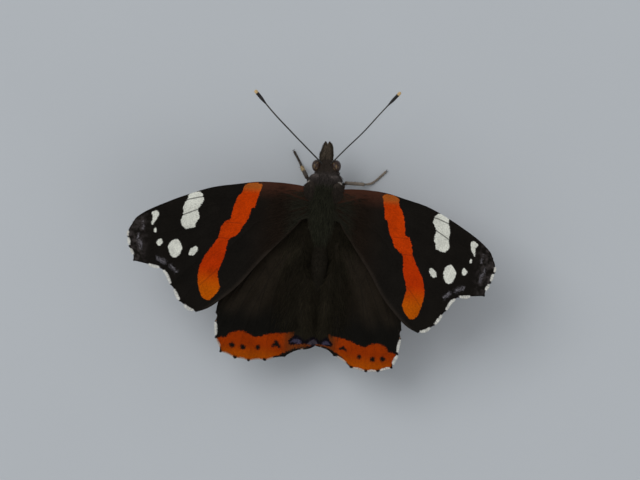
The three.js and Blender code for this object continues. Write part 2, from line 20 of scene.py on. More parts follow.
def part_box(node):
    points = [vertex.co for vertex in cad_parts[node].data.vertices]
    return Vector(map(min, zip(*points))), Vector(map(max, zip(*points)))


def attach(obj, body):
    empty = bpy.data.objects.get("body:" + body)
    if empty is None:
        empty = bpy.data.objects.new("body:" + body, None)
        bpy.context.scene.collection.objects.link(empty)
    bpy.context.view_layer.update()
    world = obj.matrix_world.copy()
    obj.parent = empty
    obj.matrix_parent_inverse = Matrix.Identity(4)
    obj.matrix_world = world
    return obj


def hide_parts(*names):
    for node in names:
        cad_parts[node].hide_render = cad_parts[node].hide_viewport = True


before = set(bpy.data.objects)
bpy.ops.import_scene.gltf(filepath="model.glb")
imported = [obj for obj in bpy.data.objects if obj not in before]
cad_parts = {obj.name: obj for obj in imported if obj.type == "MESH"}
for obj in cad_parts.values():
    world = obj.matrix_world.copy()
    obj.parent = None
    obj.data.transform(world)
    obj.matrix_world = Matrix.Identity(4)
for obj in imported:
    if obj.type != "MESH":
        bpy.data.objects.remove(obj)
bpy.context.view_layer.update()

LOG = logging.getLogger("butterfly")

MM = 0.001
THORAX_FRONT = 12.3  # body y of the thorax's front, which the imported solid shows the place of
SEED = 41

Array = np.ndarray
Points = Sequence[Sequence[float]]
Place = tuple[float, float, float]
Colour = tuple[float, float, float]
Span = tuple[float, float]
Rng = np.random.Generator
Piece = bpy.types.Object
Socket = bpy.types.NodeSocket
Outputs = bpy.types.NodeOutputs
Value = float | Sequence[float] | Socket
Surface = tuple[Value, Value | None]


def body_origin() -> Array:
    """Finds where body coordinates start in the frame, in metres."""
    low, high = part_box("thorax")
    return np.array([(low[0] + high[0]) / 2, high[1] - THORAX_FRONT * MM, 0.0])


ORIGIN = body_origin()


class Side(enum.Enum):
    """A side of the animal, with the sign of its x."""

    LEFT = -1
    RIGHT = 1

    @property
    def word(self) -> str:
        """The side as names of pieces say it."""
        return self.name.lower()

    @property
    def mirror(self) -> Array:
        """Factors that take places on the right side to this side."""
        return np.array([self.value, 1, 1])


# Curves and fields in numbers


def smooth(low: float, high: float, value: Array) -> Array:
    """Eases from 0 at low to 1 at high."""
    t = np.clip((value - low) / (high - low), 0, 1)
    return t * t * (3 - 2 * t)


def blend(low: float | Colour | Array, high: float | Colour | Array, share: Array) -> Array:
    """Goes from low to high by shares from 0 to 1."""
    start = np.asarray(low)
    return start + (high - start) * share


def vary(rng: Rng, shape: int | tuple[int, int], low: float = 0.7, spread: float = 0.6) -> Array:
    """Draws random factors, from low to low and the spread."""
    return low + spread * rng.random(shape)


def unit(vectors: Array) -> Array:
    """Gives each vector of an array a length of 1."""
    return vectors / np.maximum(np.linalg.norm(vectors, axis=-1, keepdims=True), 1e-9)


def spline(points: Points, closed: bool = False, steps: int = 12) -> Array:
    """Runs a smooth curve through points.

    Args:
        points: Points to pass, in two dimensions or more.
        closed: Whether the curve returns to its first point.
        steps: Number of steps from one point to the next.

    Returns:
        Points along the curve.
    """
    knots = np.asarray(points, float)
    ends = (knots[-1:], knots[:2]) if closed else (knots[:1], knots[-1:])
    padded = np.vstack([ends[0], knots, ends[1]])
    t = np.linspace(0, 1, steps, endpoint=False)[:, None]
    runs = []
    for before, start, end, after in zip(padded, padded[1:], padded[2:], padded[3:]):
        out = (end - before) / 2
        into = (after - start) / 2
        cubic = 2 * start - 2 * end + out + into
        square = 3 * end - 3 * start - 2 * out - into
        runs.append(cubic * t**3 + square * t**2 + out * t + start)
    return np.vstack([*runs, knots[:1] if closed else knots[-1:]])


def travelled(line: Array) -> Array:
    """Gives the length of a line up to each of its points."""
    return np.concatenate([[0], np.cumsum(np.linalg.norm(np.diff(line, axis=0), axis=1))])


def walk(line: Array, share: Array) -> Array:
    """Reads a line at shares of its length, one point for each share."""
    length = travelled(line)
    return np.stack([np.interp(share * length[-1], length, column) for column in line.T], axis=-1)


def ahead_on(line: Array, share: Array, step: float = 0.02) -> Array:
    """Finds the way ahead at shares of a line's length."""
    return unit(walk(line, np.minimum(share + step, 1)) - walk(line, np.maximum(share - step, 0)))


def spokes(line: Array, share: Array, turn: Array, level: Sequence[float] = (0, 0, 1)) -> tuple[Array, Array]:
    """Finds the directions at places round a line.

    Args:
        line: Points of the line.
        share: Share of the line's length at each place.
        turn: Turn round the line at each place.
        level: A direction off the line, near the one that the turns start at.

    Returns:
        The way ahead on the line, and the way out of it.
    """
    ahead = ahead_on(line, share)
    right = unit(np.cross(ahead, level))
    up = np.cross(right, ahead)
    angle = (2 * np.pi * turn)[:, None]
    return ahead, right * np.sin(angle) + up * np.cos(angle)


def from_spot(points: Array, spot: Sequence[float]) -> Array:
    """Measures how far points are from one spot."""
    return np.linalg.norm(points - np.array(spot), axis=1)


def distance(points: Array, line: Array) -> Array:
    """Measures how far points are from a line.

    Args:
        points: Points in the plane.
        line: Points of the line.

    Returns:
        The distance of each point.
    """
    nearest = np.full(len(points), np.inf)
    for start, end in zip(line, line[1:]):
        run = end - start
        length = run @ run
        if length > 0:
            t = np.clip(((points - start) @ run) / length, 0, 1)
            gap = points - start - t[:, None] * run
            nearest = np.minimum(nearest, np.einsum("ij,ij->i", gap, gap))
    return np.sqrt(nearest)


def depth_inside(points: Array, outline: Points) -> Array:
    """Measures how deep points lie in a smooth closed shape.

    Args:
        points: Points in the plane.
        outline: Points of the shape's outline.

    Returns:
        The distance to the outline, negative outside.
    """
    line = spline(outline, closed=True, steps=5)
    inside = np.zeros(len(points), bool)
    for (ax, ay), (bx, by) in zip(line, line[1:]):
        if ay != by:
            crossing = ax + (points[:, 1] - ay) / (by - ay) * (bx - ax)
            inside ^= ((ay > points[:, 1]) != (by > points[:, 1])) & (points[:, 0] < crossing)
    gap = distance(points, line)
    return np.where(inside, gap, -gap)


def depth_in_strokes(points: Array, strokes: Sequence[tuple[Points, float]]) -> Array:
    """Measures how deep points lie in strokes, each a line and half its width, negative outside."""
    return np.max([half - distance(points, np.asarray(line, float)) for line, half in strokes], axis=0)


# Shader trees


class Tree:
    """A node tree while it is wired."""

    def __init__(self, tree: bpy.types.NodeTree) -> None:
        """Takes the tree that nodes go into."""
        self.tree = tree

    def node(
        self, kind: str, inputs: Mapping[str | int, Value] | None = None, **settings: object
    ) -> bpy.types.Node:
        """Adds a node and wires its inputs.

        Args:
            kind: The node's type without the words ShaderNode.
            inputs: A value or another node's socket for each input.
            settings: The node's own properties.

        Returns:
            The new node.
        """
        made = self.tree.nodes.new("ShaderNode" + kind)
        for name, setting in settings.items():
            setattr(made, name, setting)
        for key, value in (inputs or {}).items():
            self.feed(made.inputs[key], value)
        return made

    def feed(self, socket: Socket, value: Value) -> None:
        """Links a socket to another, or sets its value.

        Args:
            socket: The input to feed.
            value: A socket, a number, or the numbers of a colour or vector.
        """
        if isinstance(value, Socket):
            self.tree.links.new(value, socket)
        elif socket.type == "RGBA":
            socket.default_value = (*value[:3], 1.0)
        else:
            socket.default_value = value

    def maths(self, operation: str, *values: Value) -> Socket:
        """Adds a Math node with its inputs in order."""
        return self.node("Math", dict(enumerate(values)), operation=operation).outputs[0]

    def times(self, first: Value, second: Value) -> Socket:
        """Multiplies two numbers."""
        return self.maths("MULTIPLY", first, second)

    def ramp(self, value: Value, low: Value, high: Value, start: float = 0, end: float = 1) -> Socket:
        """Eases a value from start at low to end at high."""
        inputs = {0: value, 1: low, 2: high, 3: start, 4: end}
        return self.node("MapRange", inputs, interpolation_type="SMOOTHSTEP").outputs[0]

    def mix(self, share: Value, low: Value, high: Value, blend_type: str = "MIX") -> Socket:
        """Mixes two colours by the share of the second one."""
        inputs = {0: share, 6: low, 7: high}
        return self.node("Mix", inputs, data_type="RGBA", blend_type=blend_type).outputs[2]

    def layered(self, ground: Value, *layers: tuple[Value, Value]) -> Value:
        """Lays colours over a ground.

        Args:
            ground: The ground's colour.
            layers: Mask and colour of each layer, from the lowest up.

        Returns:
            The colour that results.
        """
        for mask, colour in layers:
            ground = self.mix(mask, ground, colour)
        return ground

    def split(self, vector: Value) -> Outputs:
        """Takes a vector or a colour apart into its three numbers."""
        return self.node("SeparateXYZ", {0: vector}).outputs

    def grey(self, value: Value) -> Socket:
        """Makes a number a grey."""
        return self.node("CombineXYZ", {0: value, 1: value, 2: value}).outputs[0]

    def place(self) -> Socket:
        """Reads the place on the object."""
        return self.node("TexCoord").outputs["Object"]

    def carried(self, name: str, kind: str = "Fac") -> Socket:
        """Reads what the mesh carries under this name: a number, or else a Vector or a Color."""
        return self.node("Attribute", attribute_name=name).outputs[kind]

    def noise(self, vector: Value, scale: Value, detail: float = 2) -> Socket:
        """Reads plain noise of a scale, with a number of finer layers. It is about 0.5 in the middle."""
        return self.node("TexNoise", {"Vector": vector, "Scale": scale, "Detail": detail}).outputs[0]

    def group(self, group: bpy.types.NodeTree, inputs: Mapping[str, Value]) -> Outputs:
        """Places a node group and gives its outputs."""
        return self.node("Group", inputs, node_tree=group).outputs

    def mottled(
        self, colour: Value, place: Value, scale: float, amount: float, cell: Value, grain: float
    ) -> Socket:
        """Varies a colour in blotches of a scale and amount, and with a grain from cell to cell."""
        spread = {"Scale": scale, "Amount": amount, "Cell": cell, "Grain": grain}
        return self.group(GROUPS["mottle"], {"Color": colour, "Vector": place, **spread})["Color"]


def new_group(
    name: str, inputs: Mapping[str, Value | None], outputs: Sequence[str]
) -> tuple[Tree, Outputs, bpy.types.NodeInputs]:
    """Starts a shader node group.

    Args:
        name: The group's name.
        inputs: Plain value of each input, a number or a colour, or None for a vector.
        outputs: The outputs: Color is a colour, and all others are numbers.

    Returns:
        The group's tree, what it is given, and what it has to put out.
    """
    tree = bpy.data.node_groups.new(name, "ShaderNodeTree")
    kinds = {float: "NodeSocketFloat", tuple: "NodeSocketColor"}
    for label, plain in inputs.items():
        kind = kinds.get(type(plain), "NodeSocketVector")
        socket = tree.interface.new_socket(label, in_out="INPUT", socket_type=kind)
        if plain is not None:
            socket.default_value = plain
    for label in outputs:
        kind = kinds[tuple if label == "Color" else float]
        tree.interface.new_socket(label, in_out="OUTPUT", socket_type=kind)
    return Tree(tree), tree.nodes.new("NodeGroupInput").outputs, tree.nodes.new("NodeGroupOutput").inputs


def scale_rows_group() -> bpy.types.NodeTree:
    """Builds the rows of tiny scales that cover a wing, like tiles on a roof.

    Returns:
        A group that gives each scale a random number, its painted shade at its sides and base, and its height.
    """
    inputs = {"Vector": None, "Turn": 0.0, "Pitch": 0.16, "Width": 0.11}
    tree, given, result = new_group("wing_scales", inputs, ["Cell", "Shade", "Height"])
    turning = {"Vector": given["Vector"], "Angle": given["Turn"]}
    turned = tree.node("VectorRotate", turning, rotation_type="Z_AXIS").outputs[0]
    sway = tree.node("TexNoise", {"Vector": turned, "Scale": 0.9, "Detail": 1.0}).outputs["Color"]
    sway = tree.node("VectorMath", {0: sway, 1: (0.45, 0.45, 0.0)}, operation="MULTIPLY").outputs[0]
    parts = tree.split(tree.node("VectorMath", {0: turned, 1: sway}, operation="ADD").outputs[0])
    along = tree.maths("DIVIDE", parts[0], given["Pitch"])
    row = tree.maths("FLOOR", along)
    across = tree.maths("ADD", tree.maths("DIVIDE", parts[1], given["Width"]), tree.times(row, 0.5))
    cell = tree.node("CombineXYZ", {0: tree.maths("FLOOR", across), 1: row}).outputs[0]
    rise = tree.maths("FRACT", along)
    edge = tree.maths("ABSOLUTE", tree.maths("MULTIPLY_ADD", tree.maths("FRACT", across), 2.0, -1.0))
    # Painted shade: darker at the sides of each scale, and at its base under the free end of the row before it
    shade = tree.times(tree.ramp(edge, 0.6, 1.0, 1.0, 0.72), tree.ramp(rise, 0.0, 0.35, 0.66, 1.0))
    chance = tree.node("TexWhiteNoise", {"Vector": cell}, noise_dimensions="3D").outputs["Value"]
    tree.feed(result["Cell"], chance)
    tree.feed(result["Shade"], shade)
    tree.feed(result["Height"], tree.times(rise, tree.ramp(edge, 0.2, 1.0, 1.0, 0.55)))
    return tree.tree


def feathered_edge_group() -> bpy.types.NodeTree:
    """Builds the edge of a marking, which runs from scale to scale.

    Returns:
        A group that turns the depth in a marking into a mask.
    """
    tree, given, result = new_group("marking_edge", {"Depth": 0.0, "Cell": 0.5, "Feather": 0.1}, ["Mask"])
    chance = tree.maths("SUBTRACT", given["Cell"], 0.5)
    nudged = tree.maths("MULTIPLY_ADD", chance, given["Feather"], given["Depth"])
    half = tree.times(given["Feather"], 0.5)
    tree.feed(result["Mask"], tree.ramp(nudged, tree.times(half, -1.0), half))
    return tree.tree


def mottle_group() -> bpy.types.NodeTree:
    """Builds the unevenness of a natural colour: soft blotches, and each cell its own shade.

    Returns:
        A group that varies a colour.
    """
    plain = (0.5, 0.5, 0.5, 1.0)
    inputs = {"Color": plain, "Vector": None, "Scale": 1.0, "Amount": 0.3, "Cell": 0.5, "Grain": 0.3}
    tree, given, result = new_group("natural_mottle", inputs, ["Color"])
    wide = tree.noise(given["Vector"], given["Scale"], 3.0)
    blotch = tree.times(tree.maths("SUBTRACT", wide, 0.5), given["Amount"])
    grain = tree.times(tree.maths("SUBTRACT", given["Cell"], 0.5), given["Grain"])
    factor = tree.maths("ADD", tree.maths("MULTIPLY_ADD", blotch, 2.0, 1.0), grain)
    tree.feed(result["Color"], tree.mix(1.0, given["Color"], tree.grey(factor), "MULTIPLY"))
    return tree.tree


GROUPS = {"scales": scale_rows_group(), "edge": feathered_edge_group(), "mottle": mottle_group()}


@dataclass(frozen=True)
class Finish:
    """A surface finish: its name, and the values that are the same all over it."""

    name: str
    roughness: float = 0.75
    specular: float = 0.15
    bump: float = 0.0
    bump_depth: float = 0.02

    def material(self) -> bpy.types.Material:
        """Builds the material once.

        Returns:
            The material of this finish.
        """
        if self.name in bpy.data.materials:
            return bpy.data.materials[self.name]
        made = bpy.data.materials.new(self.name)
        made.use_nodes = True
        shader = made.node_tree.nodes["Principled BSDF"]
        shader.inputs["Roughness"].default_value = self.roughness
        shader.inputs["Specular IOR Level"].default_value = self.specular
        tree = Tree(made.node_tree)
        colour, height = self.surface(tree)
        tree.feed(shader.inputs["Base Color"], colour)
        if self.bump > 0 and height is not None:
            inputs = {"Height": height, "Strength": self.bump, "Distance": self.bump_depth * MM}
            tree.feed(shader.inputs["Normal"], tree.node("Bump", inputs).outputs[0])
        self.coat(shader)
        return made

    def surface(self, tree: Tree) -> Surface:
        """Wires the colour, and the height for the bump. Each finish has its own."""
        raise NotImplementedError

    def coat(self, shader: bpy.types.Node) -> None:
        """Sets the clear coat where a finish has one."""


class Face(enum.Enum):
    """The two faces of a wing."""

    UPPER = "upper"
    UNDER = "under"


class Pattern(Tree):
    """The tree of a wing's pattern: where each scale lies in the plan, and its random number."""

    def __init__(self, tree: bpy.types.NodeTree, plan: Socket, cell: Socket) -> None:
        """Keeps what every marking reads.

        Args:
            tree: The material's node tree.
            plan: The place in the wing's plan.
            cell: The random number of each scale.
        """
        super().__init__(tree)
        self.plan = plan
        self.cell = cell
        self.x, self.y, _ = self.split(plan)

    def marking(self, name: str, feather: float = 0.12) -> Socket:
        """Masks one marking of the pattern.

        Args:
            name: The marking's depth, as the mesh carries it.
            feather: Width of the edge in millimetres.

        Returns:
            The mask's socket.
        """
        wander = self.maths("SUBTRACT", self.noise(self.plan, 1.7, 3), 0.5)
        depth = self.maths("MULTIPLY_ADD", wander, 0.35, self.carried(name))
        return self.group(GROUPS["edge"], {"Depth": depth, "Cell": self.cell, "Feather": feather})["Mask"]

    def band(self, name: str, low: float, high: float, start: float = 0, end: float = 1) -> Socket:
        """Eases a measure that the mesh carries from start at low to end at high."""
        return self.ramp(self.carried(name), low, high, start, end)


@dataclass(frozen=True)
class WingFinish(Finish):
    """Scales on a wing, in the pattern of one face."""

    face: Face = Face.UPPER
    turn: float = 0.0
    specular: float = 0.04
    bump: float = 0.5
    blotches: float = 0.35
    blotching: float = 0.35
    grain: float = 0.35
    # How much the scales' painted shade darkens the colour
    shading: float = 0.7

    def surface(self, tree: Tree) -> Surface:
        """Wires the scales, and lays the pattern in them.

        Args:
            tree: The material's tree.

        Returns:
            The colour with the scales' painted shade, and the height of the scales.
        """
        plan = tree.carried("Plan", "Vector")
        scales = tree.group(GROUPS["scales"], {"Vector": plan, "Turn": self.turn})
        cell = scales["Cell"]
        pattern = self.upper if self.face is Face.UPPER else self.under
        colour = pattern(Pattern(tree.tree, plan, cell))
        varied = tree.mottled(colour, plan, self.blotches, self.blotching, cell, self.grain)
        # The colour is darkened by the scales' painted shade
        return tree.mix(self.shading, varied, tree.grey(scales["Shade"]), "MULTIPLY"), scales["Height"]

    def upper(self, tree: Pattern) -> Value:
        """Wires the pattern of the upper face. Each wing has its own."""
        raise NotImplementedError

    def under(self, tree: Pattern) -> Value:
        """Wires the pattern of the underside. Each wing has its own."""
        raise NotImplementedError


@dataclass(frozen=True)
class ForewingFinish(WingFinish):
    """The forewing's pattern: a red band, a white bar and white spots on black."""

    turn: float = math.radians(28)
    black: Colour = (0.0085, 0.007, 0.0055)
    brown: Colour = (0.0137, 0.0078, 0.0046)
    costal_brown: Colour = (0.062, 0.023, 0.0135)
    edge_brown: Colour = (0.034, 0.026, 0.02)
    band_tip: Colour = (0.44, 0.104, 0.014)
    band_top: Colour = (0.575, 0.046, 0.0)
    band_middle: Colour = (0.505, 0.034, 0.0)
    band_end: Colour = (0.53, 0.097, 0.0)
    white: Colour = (0.765, 0.77, 0.685)
    blue: Colour = (0.25, 0.235, 0.26)
    dust: Colour = (0.06, 0.05, 0.048)
    under_black: Colour = (0.012, 0.009, 0.008)
    under_red: Colour = (0.55, 0.12, 0.08)
    under_brown: Colour = (0.13, 0.085, 0.055)
    under_tip: Colour = (0.05, 0.035, 0.028)
    under_blue: Colour = (0.04, 0.07, 0.16)
    under_white: Colour = (0.68, 0.66, 0.6)
    under_vein: Colour = (0.02, 0.015, 0.012)

    def upper(self, tree: Pattern) -> Value:
        """Wires the pattern of the upper face.

        Args:
            tree: The pattern's tree.

        Returns:
            The colour's socket.
        """
        costal = tree.times(tree.band("Costa", -1.7, 1.5), tree.ramp(tree.x, 14.0, 9.0))
        edge = tree.times(tree.band("Edge", 0.8, 0.05, 0.0, 0.55), tree.ramp(tree.x, 19.5, 16.0))
        streaks = tree.ramp(tree.noise(tree.plan, 1.1, 4), 0.38, 0.66)
        dusted = tree.times(streaks, tree.ramp(tree.x, 27.6, 30.4, 0.0, 0.75))
        ground = tree.layered(
            self.brown, (tree.ramp(tree.x, 4.0, 13.0), self.black), (costal, self.costal_brown),
            (edge, self.edge_brown), (dusted, self.dust),
        )
        red = tree.layered(
            self.band_tip, (tree.ramp(tree.y, 9.6, 8.2), self.band_top),
            (tree.ramp(tree.y, 1.5, -1.0), self.band_middle), (tree.ramp(tree.y, -4.0, -8.5), self.band_end),
        )
        banded = tree.marking("Band")
        patchy = tree.ramp(tree.noise(tree.plan, 1.9, 3), 0.3, 0.6, 0.25, 0.75)
        bluish = tree.times(tree.marking("Blue", 0.55), patchy)
        line = tree.times(tree.band("Line", 0.03, 0.16, 0.75, 0.0), tree.ramp(banded, 0, 1, 1, 0.4))
        white = (tree.marking("White", 0.14), self.white)
        return tree.layered(ground, (banded, red), (bluish, self.blue), white, (line, self.black))

    def under(self, tree: Pattern) -> Value:
        """Wires the pattern of the underside.

        Args:
            tree: The pattern's tree.

        Returns:
            The colour's socket.
        """
        blotches = tree.ramp(tree.noise(tree.plan, 0.8, 4), 0.4, 0.6)
        tip = tree.mix(blotches, self.under_brown, self.under_tip)
        ground = tree.mix(tree.ramp(tree.x, 24.0, 27.5), self.under_black, tip)
        return tree.layered(
            ground, (tree.marking("Band"), self.under_red), (tree.marking("Cell", 0.3), self.under_blue),
            (tree.marking("White", 0.1), self.under_white),
            (tree.band("Vein", 0.08, 0.2, 0.7, 0.0), self.under_vein),
        )


@dataclass(frozen=True)
class HindwingFinish(WingFinish):
    """The hindwing's pattern: brown, with a red margin, black spots and a blue patch."""

    turn: float = math.radians(65)
    brown: Colour = (0.0115, 0.0082, 0.005)
    dark: Colour = (0.0062, 0.0055, 0.0043)
    inner: Colour = (0.015, 0.0125, 0.0075)
    fold: Colour = (0.0225, 0.017, 0.0115)
    red: Colour = (0.30, 0.032, 0.0)
    red_outer: Colour = (0.38, 0.068, 0.0)
    rust: Colour = (0.15, 0.034, 0.006)
    blue: Colour = (0.05, 0.043, 0.075)
    grey: Colour = (0.05, 0.041, 0.053)
    night: Colour = (0.0045, 0.003, 0.0055)
    under_brown: Colour = (0.065, 0.042, 0.028)
    under_dark: Colour = (0.016, 0.012, 0.012)
    under_pale: Colour = (0.20, 0.155, 0.11)
    under_fleck: Colour = (0.03, 0.022, 0.018)
    under_ring: Colour = (0.10, 0.11, 0.13)
    under_pupil: Colour = (0.012, 0.012, 0.016)
    under_rim: Colour = (0.22, 0.20, 0.18)
    under_vein: Colour = (0.10, 0.07, 0.045)

    def upper(self, tree: Pattern) -> Value:
        """Wires the pattern of the upper face.

        Args:
            tree: The pattern's tree.

        Returns:
            The colour's socket.
        """
        folded = tree.times(tree.band("Fold", -1.6, 0.5, 0.0, 0.65), tree.ramp(tree.y, -13.8, -9.5))
        ground = tree.layered(
            self.brown, (tree.ramp(tree.y, -8.0, -13.0), self.dark),
            (tree.ramp(tree.x, 5.0, 2.0), self.inner), (folded, self.fold),
            (tree.band("Blue", -0.75, -0.3), self.night),
        )
        red = tree.layered(
            self.red, (tree.ramp(tree.y, -16.3, -19.0), self.red_outer),
            (tree.ramp(tree.x, 5.6, 3.4), self.rust),
        )
        reddened = tree.marking("Red", 0.22)
        blue = tree.mix(tree.ramp(tree.x, 1.9, 1.5), self.blue, self.grey)
        vein = tree.times(tree.band("Vein", 0.04, 0.12, 0.4, 0.0), tree.ramp(reddened, 0, 1, 1, 0.25))
        return tree.layered(
            ground, (reddened, red), (tree.marking("Spots", 0.3), self.dark),
            (tree.marking("Blue", 0.3), blue), (vein, self.dark),
        )

    def under(self, tree: Pattern) -> Value:
        """Wires the marbled pattern of the underside.

        Args:
            tree: The pattern's tree.

        Returns:
            The colour's socket.
        """
        blotches = tree.noise(tree.plan, 0.55, 5)
        eyes = tree.carried("Eyespot")
        ring = tree.ramp(tree.maths("ABSOLUTE", tree.maths("SUBTRACT", eyes, 0.62)), 0.22, 0.08)
        return tree.layered(
            self.under_brown,
            (tree.ramp(blotches, 0.42, 0.56), self.under_dark),
            (tree.ramp(blotches, 0.56, 0.64), self.under_pale),
            (tree.ramp(tree.noise(tree.plan, 2.2, 3), 0.45, 0.75, 0.0, 0.6), self.under_fleck),
            (tree.times(ring, 0.6), self.under_ring),
            (tree.ramp(eyes, 0.45, 0.3), self.under_pupil),
            (tree.times(tree.band("Rim", 0.9, 0.6), 0.5), self.under_rim),
            (tree.band("Vein", 0.08, 0.2, 0.6, 0.0), self.under_vein),
        )


@dataclass(frozen=True)
class HairFinish(Finish):
    """Hair or hair-like scales, in the colour that each one carries."""

    streaks: float = 9000.0
    blotches: float = 700.0
    blotching: float = 0.25
    grain: float = 0.3

    def surface(self, tree: Tree) -> Surface:
        """Wires the colour that each hair carries, with fine streaks and no height."""
        tint, place = tree.carried("Tint", "Color"), tree.place()
        chance = tree.noise(place, self.streaks, 1)
        return tree.mottled(tint, place, self.blotches, self.blotching, chance, self.grain), None


@dataclass(frozen=True)
class CellFinish(Finish):
    """Tiny cells, such as short flat scales, in the colour that the piece carries."""

    roughness: float = 0.5
    specular: float = 0.3
    bump: float = 0.4
    cells: float = 9000.0
    unevenness: float = 1.0
    blotches: float = 1200.0
    blotching: float = 0.3
    grain: float = 0.4

    def surface(self, tree: Tree) -> Surface:
        """Wires the finish's own colour and its cells.

        Args:
            tree: The material's tree.

        Returns:
            The colour and the height.
        """
        place = tree.place()
        inputs = {"Vector": place, "Scale": self.cells, "Randomness": self.unevenness}
        cells = tree.node("TexVoronoi", inputs).outputs
        chance = tree.split(cells["Color"])[0]
        colour = tree.mottled(self.ground(tree), place, self.blotches, self.blotching, chance, self.grain)
        return colour, cells["Distance"]

    def ground(self, tree: Tree) -> Value:
        """Reads the colour that the piece carries."""
        return tree.carried("Tint", "Color")


@dataclass(frozen=True)
class EyeFinish(CellFinish):
    """A compound eye: dark reddish brown facets, with golden blotches painted as a highlight on its upper half.
    """

    roughness: float = 0.28
    bump: float = 0.5
    cells: float = 17000.0
    unevenness: float = 0.25
    blotches: float = 1500.0
    grain: float = 0.35
    dark: Colour = (0.026, 0.0105, 0.007)
    # Colour of the painted highlight on the eye's upper half
    pale: Colour = (0.15, 0.098, 0.045)
    coat_weight: float = 0.06
    coat_roughness: float = 0.15

    def surface(self, tree: Tree) -> Surface:
        """Wires the facets, each of them a small dome."""
        colour, gap = super().surface(tree)
        return colour, tree.maths("SUBTRACT", 1.0, gap)

    def ground(self, tree: Tree) -> Value:
        """Wires the dark brown and the golden blotches of the painted highlight.

        Args:
            tree: The material's tree.

        Returns:
            The colour's socket.
        """
        globe = tree.carried("Globe", "Vector")
        blotches = tree.ramp(tree.noise(globe, 2.6, 3), 0.46, 0.64)
        # Painted highlight: golden blotches only where the eye faces up, towards the light
        lit_top = tree.ramp(tree.split(globe)[2], 0.5, 0.85)
        return tree.mix(tree.times(blotches, lit_top), self.dark, self.pale)

    def coat(self, shader: bpy.types.Node) -> None:
        """Sets the thin clear gloss on the facets."""
        shader.inputs["Coat Weight"].default_value = self.coat_weight
        shader.inputs["Coat Roughness"].default_value = self.coat_roughness


@dataclass(frozen=True)
class FloorFinish(Finish):
    """A plain pale floor with a trace of grain."""

    roughness: float = 0.9
    pale: Colour = (0.57, 0.60, 0.63)

    def surface(self, tree: Tree) -> Surface:
        """Wires the floor's colour, which has no height."""
        return tree.mottled(self.pale, tree.place(), scale=40.0, amount=0.015, cell=0.5, grain=0.0), None


HAIR = HairFinish("hair", roughness=0.8, specular=0.05)
SKIN = CellFinish(
    "body_scales", roughness=0.8, specular=0.06, bump=0.6, bump_depth=0.05, cells=6000.0, blotches=900.0,
    grain=0.5,
)
CHITIN = CellFinish("chitin")
LEG_SCALES = CellFinish("leg_scales", roughness=0.7, specular=0.2)
EYE = EyeFinish("compound_eye")
FLOOR = FloorFinish("pale_floor")


# Meshes and pieces


def to_metres(places: Array) -> Array:
    """Moves points from body coordinates in millimetres to the frame in metres."""
    return places * MM + ORIGIN


def corners(mesh: bmesh.types.BMesh) -> Array:
    """Reads the places of a mesh's corners."""
    return np.array([corner.co[:] for corner in mesh.verts])


def to_object(name: str, mesh: bmesh.types.BMesh, places: Array, *finishes: Finish) -> Piece:
    """Makes an object from a mesh whose corners are then moved.

    Args:
        name: The piece's name.
        mesh: Mesh that an operator made. It is freed.
        places: Where its corners go, in body coordinates.
        finishes: The finishes of its material slots.

    Returns:
        The object.
    """
    for corner, place in zip(mesh.verts, to_metres(places)):
        corner.co = place
    data = bpy.data.meshes.new(name)
    mesh.to_mesh(data)
    mesh.free()
    return link(name, data, *finishes)


def link(name: str, data: bpy.types.Mesh, *finishes: Finish) -> Piece:
    """Puts a mesh in the scene.

    Args:
        name: The piece's name.
        data: The mesh.
        finishes: The finishes of its material slots.

    Returns:
        The object.
    """
    data.shade_smooth()
    for finish in finishes:
        data.materials.append(finish.material())
    made = bpy.data.objects.new(name, data)
    bpy.context.scene.collection.objects.link(made)
    return made


def carry(piece: Piece, name: str, values: Array, colour: bool = False) -> None:
    """Writes a value for each corner into a piece's mesh.

    Args:
        piece: The piece.
        name: Name that the materials read it by.
        values: A number, a vector or a colour for each corner.
        colour: Whether the values are colours.
    """
    values = np.asarray(values, np.float32)
    if colour:
        values = np.hstack([values, np.ones((len(values), 1), np.float32)])
        kind, label = "FLOAT_COLOR", "color"
    elif values.ndim == 2:
        kind, label = "FLOAT_VECTOR", "vector"
    else:
        kind, label = "FLOAT", "value"
    piece.data.attributes.new(name, kind, "POINT").data.foreach_set(label, values.ravel())


def enrol(piece: Piece, slot: str, *nodes: str) -> None:
    """Sets a piece on the body, in the place of the solids that it stands for.

    Args:
        piece: The finished piece.
        slot: A material slot's name. It is not used.
        nodes: The solids that it replaces.
    """
    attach(piece, "root")
    if nodes:
        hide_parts(*nodes)
    LOG.info("%s: %d faces, %s", piece.name, len(piece.data.polygons), ", ".join(nodes) or "no solid")


def facing_up(mesh: bmesh.types.BMesh, places: Array) -> None:
    """Turns an open sheet over where its moved faces would look down.

    Args:
        mesh: The sheet before its corners are moved.
        places: Where the corners go.
    """
    first = next(iter(mesh.faces))
    a, b, c = (places[corner.index] for corner in first.verts[:3])
    if np.cross(b - a, c - a)[2] < 0:
        bmesh.ops.reverse_faces(mesh, faces=mesh.faces)


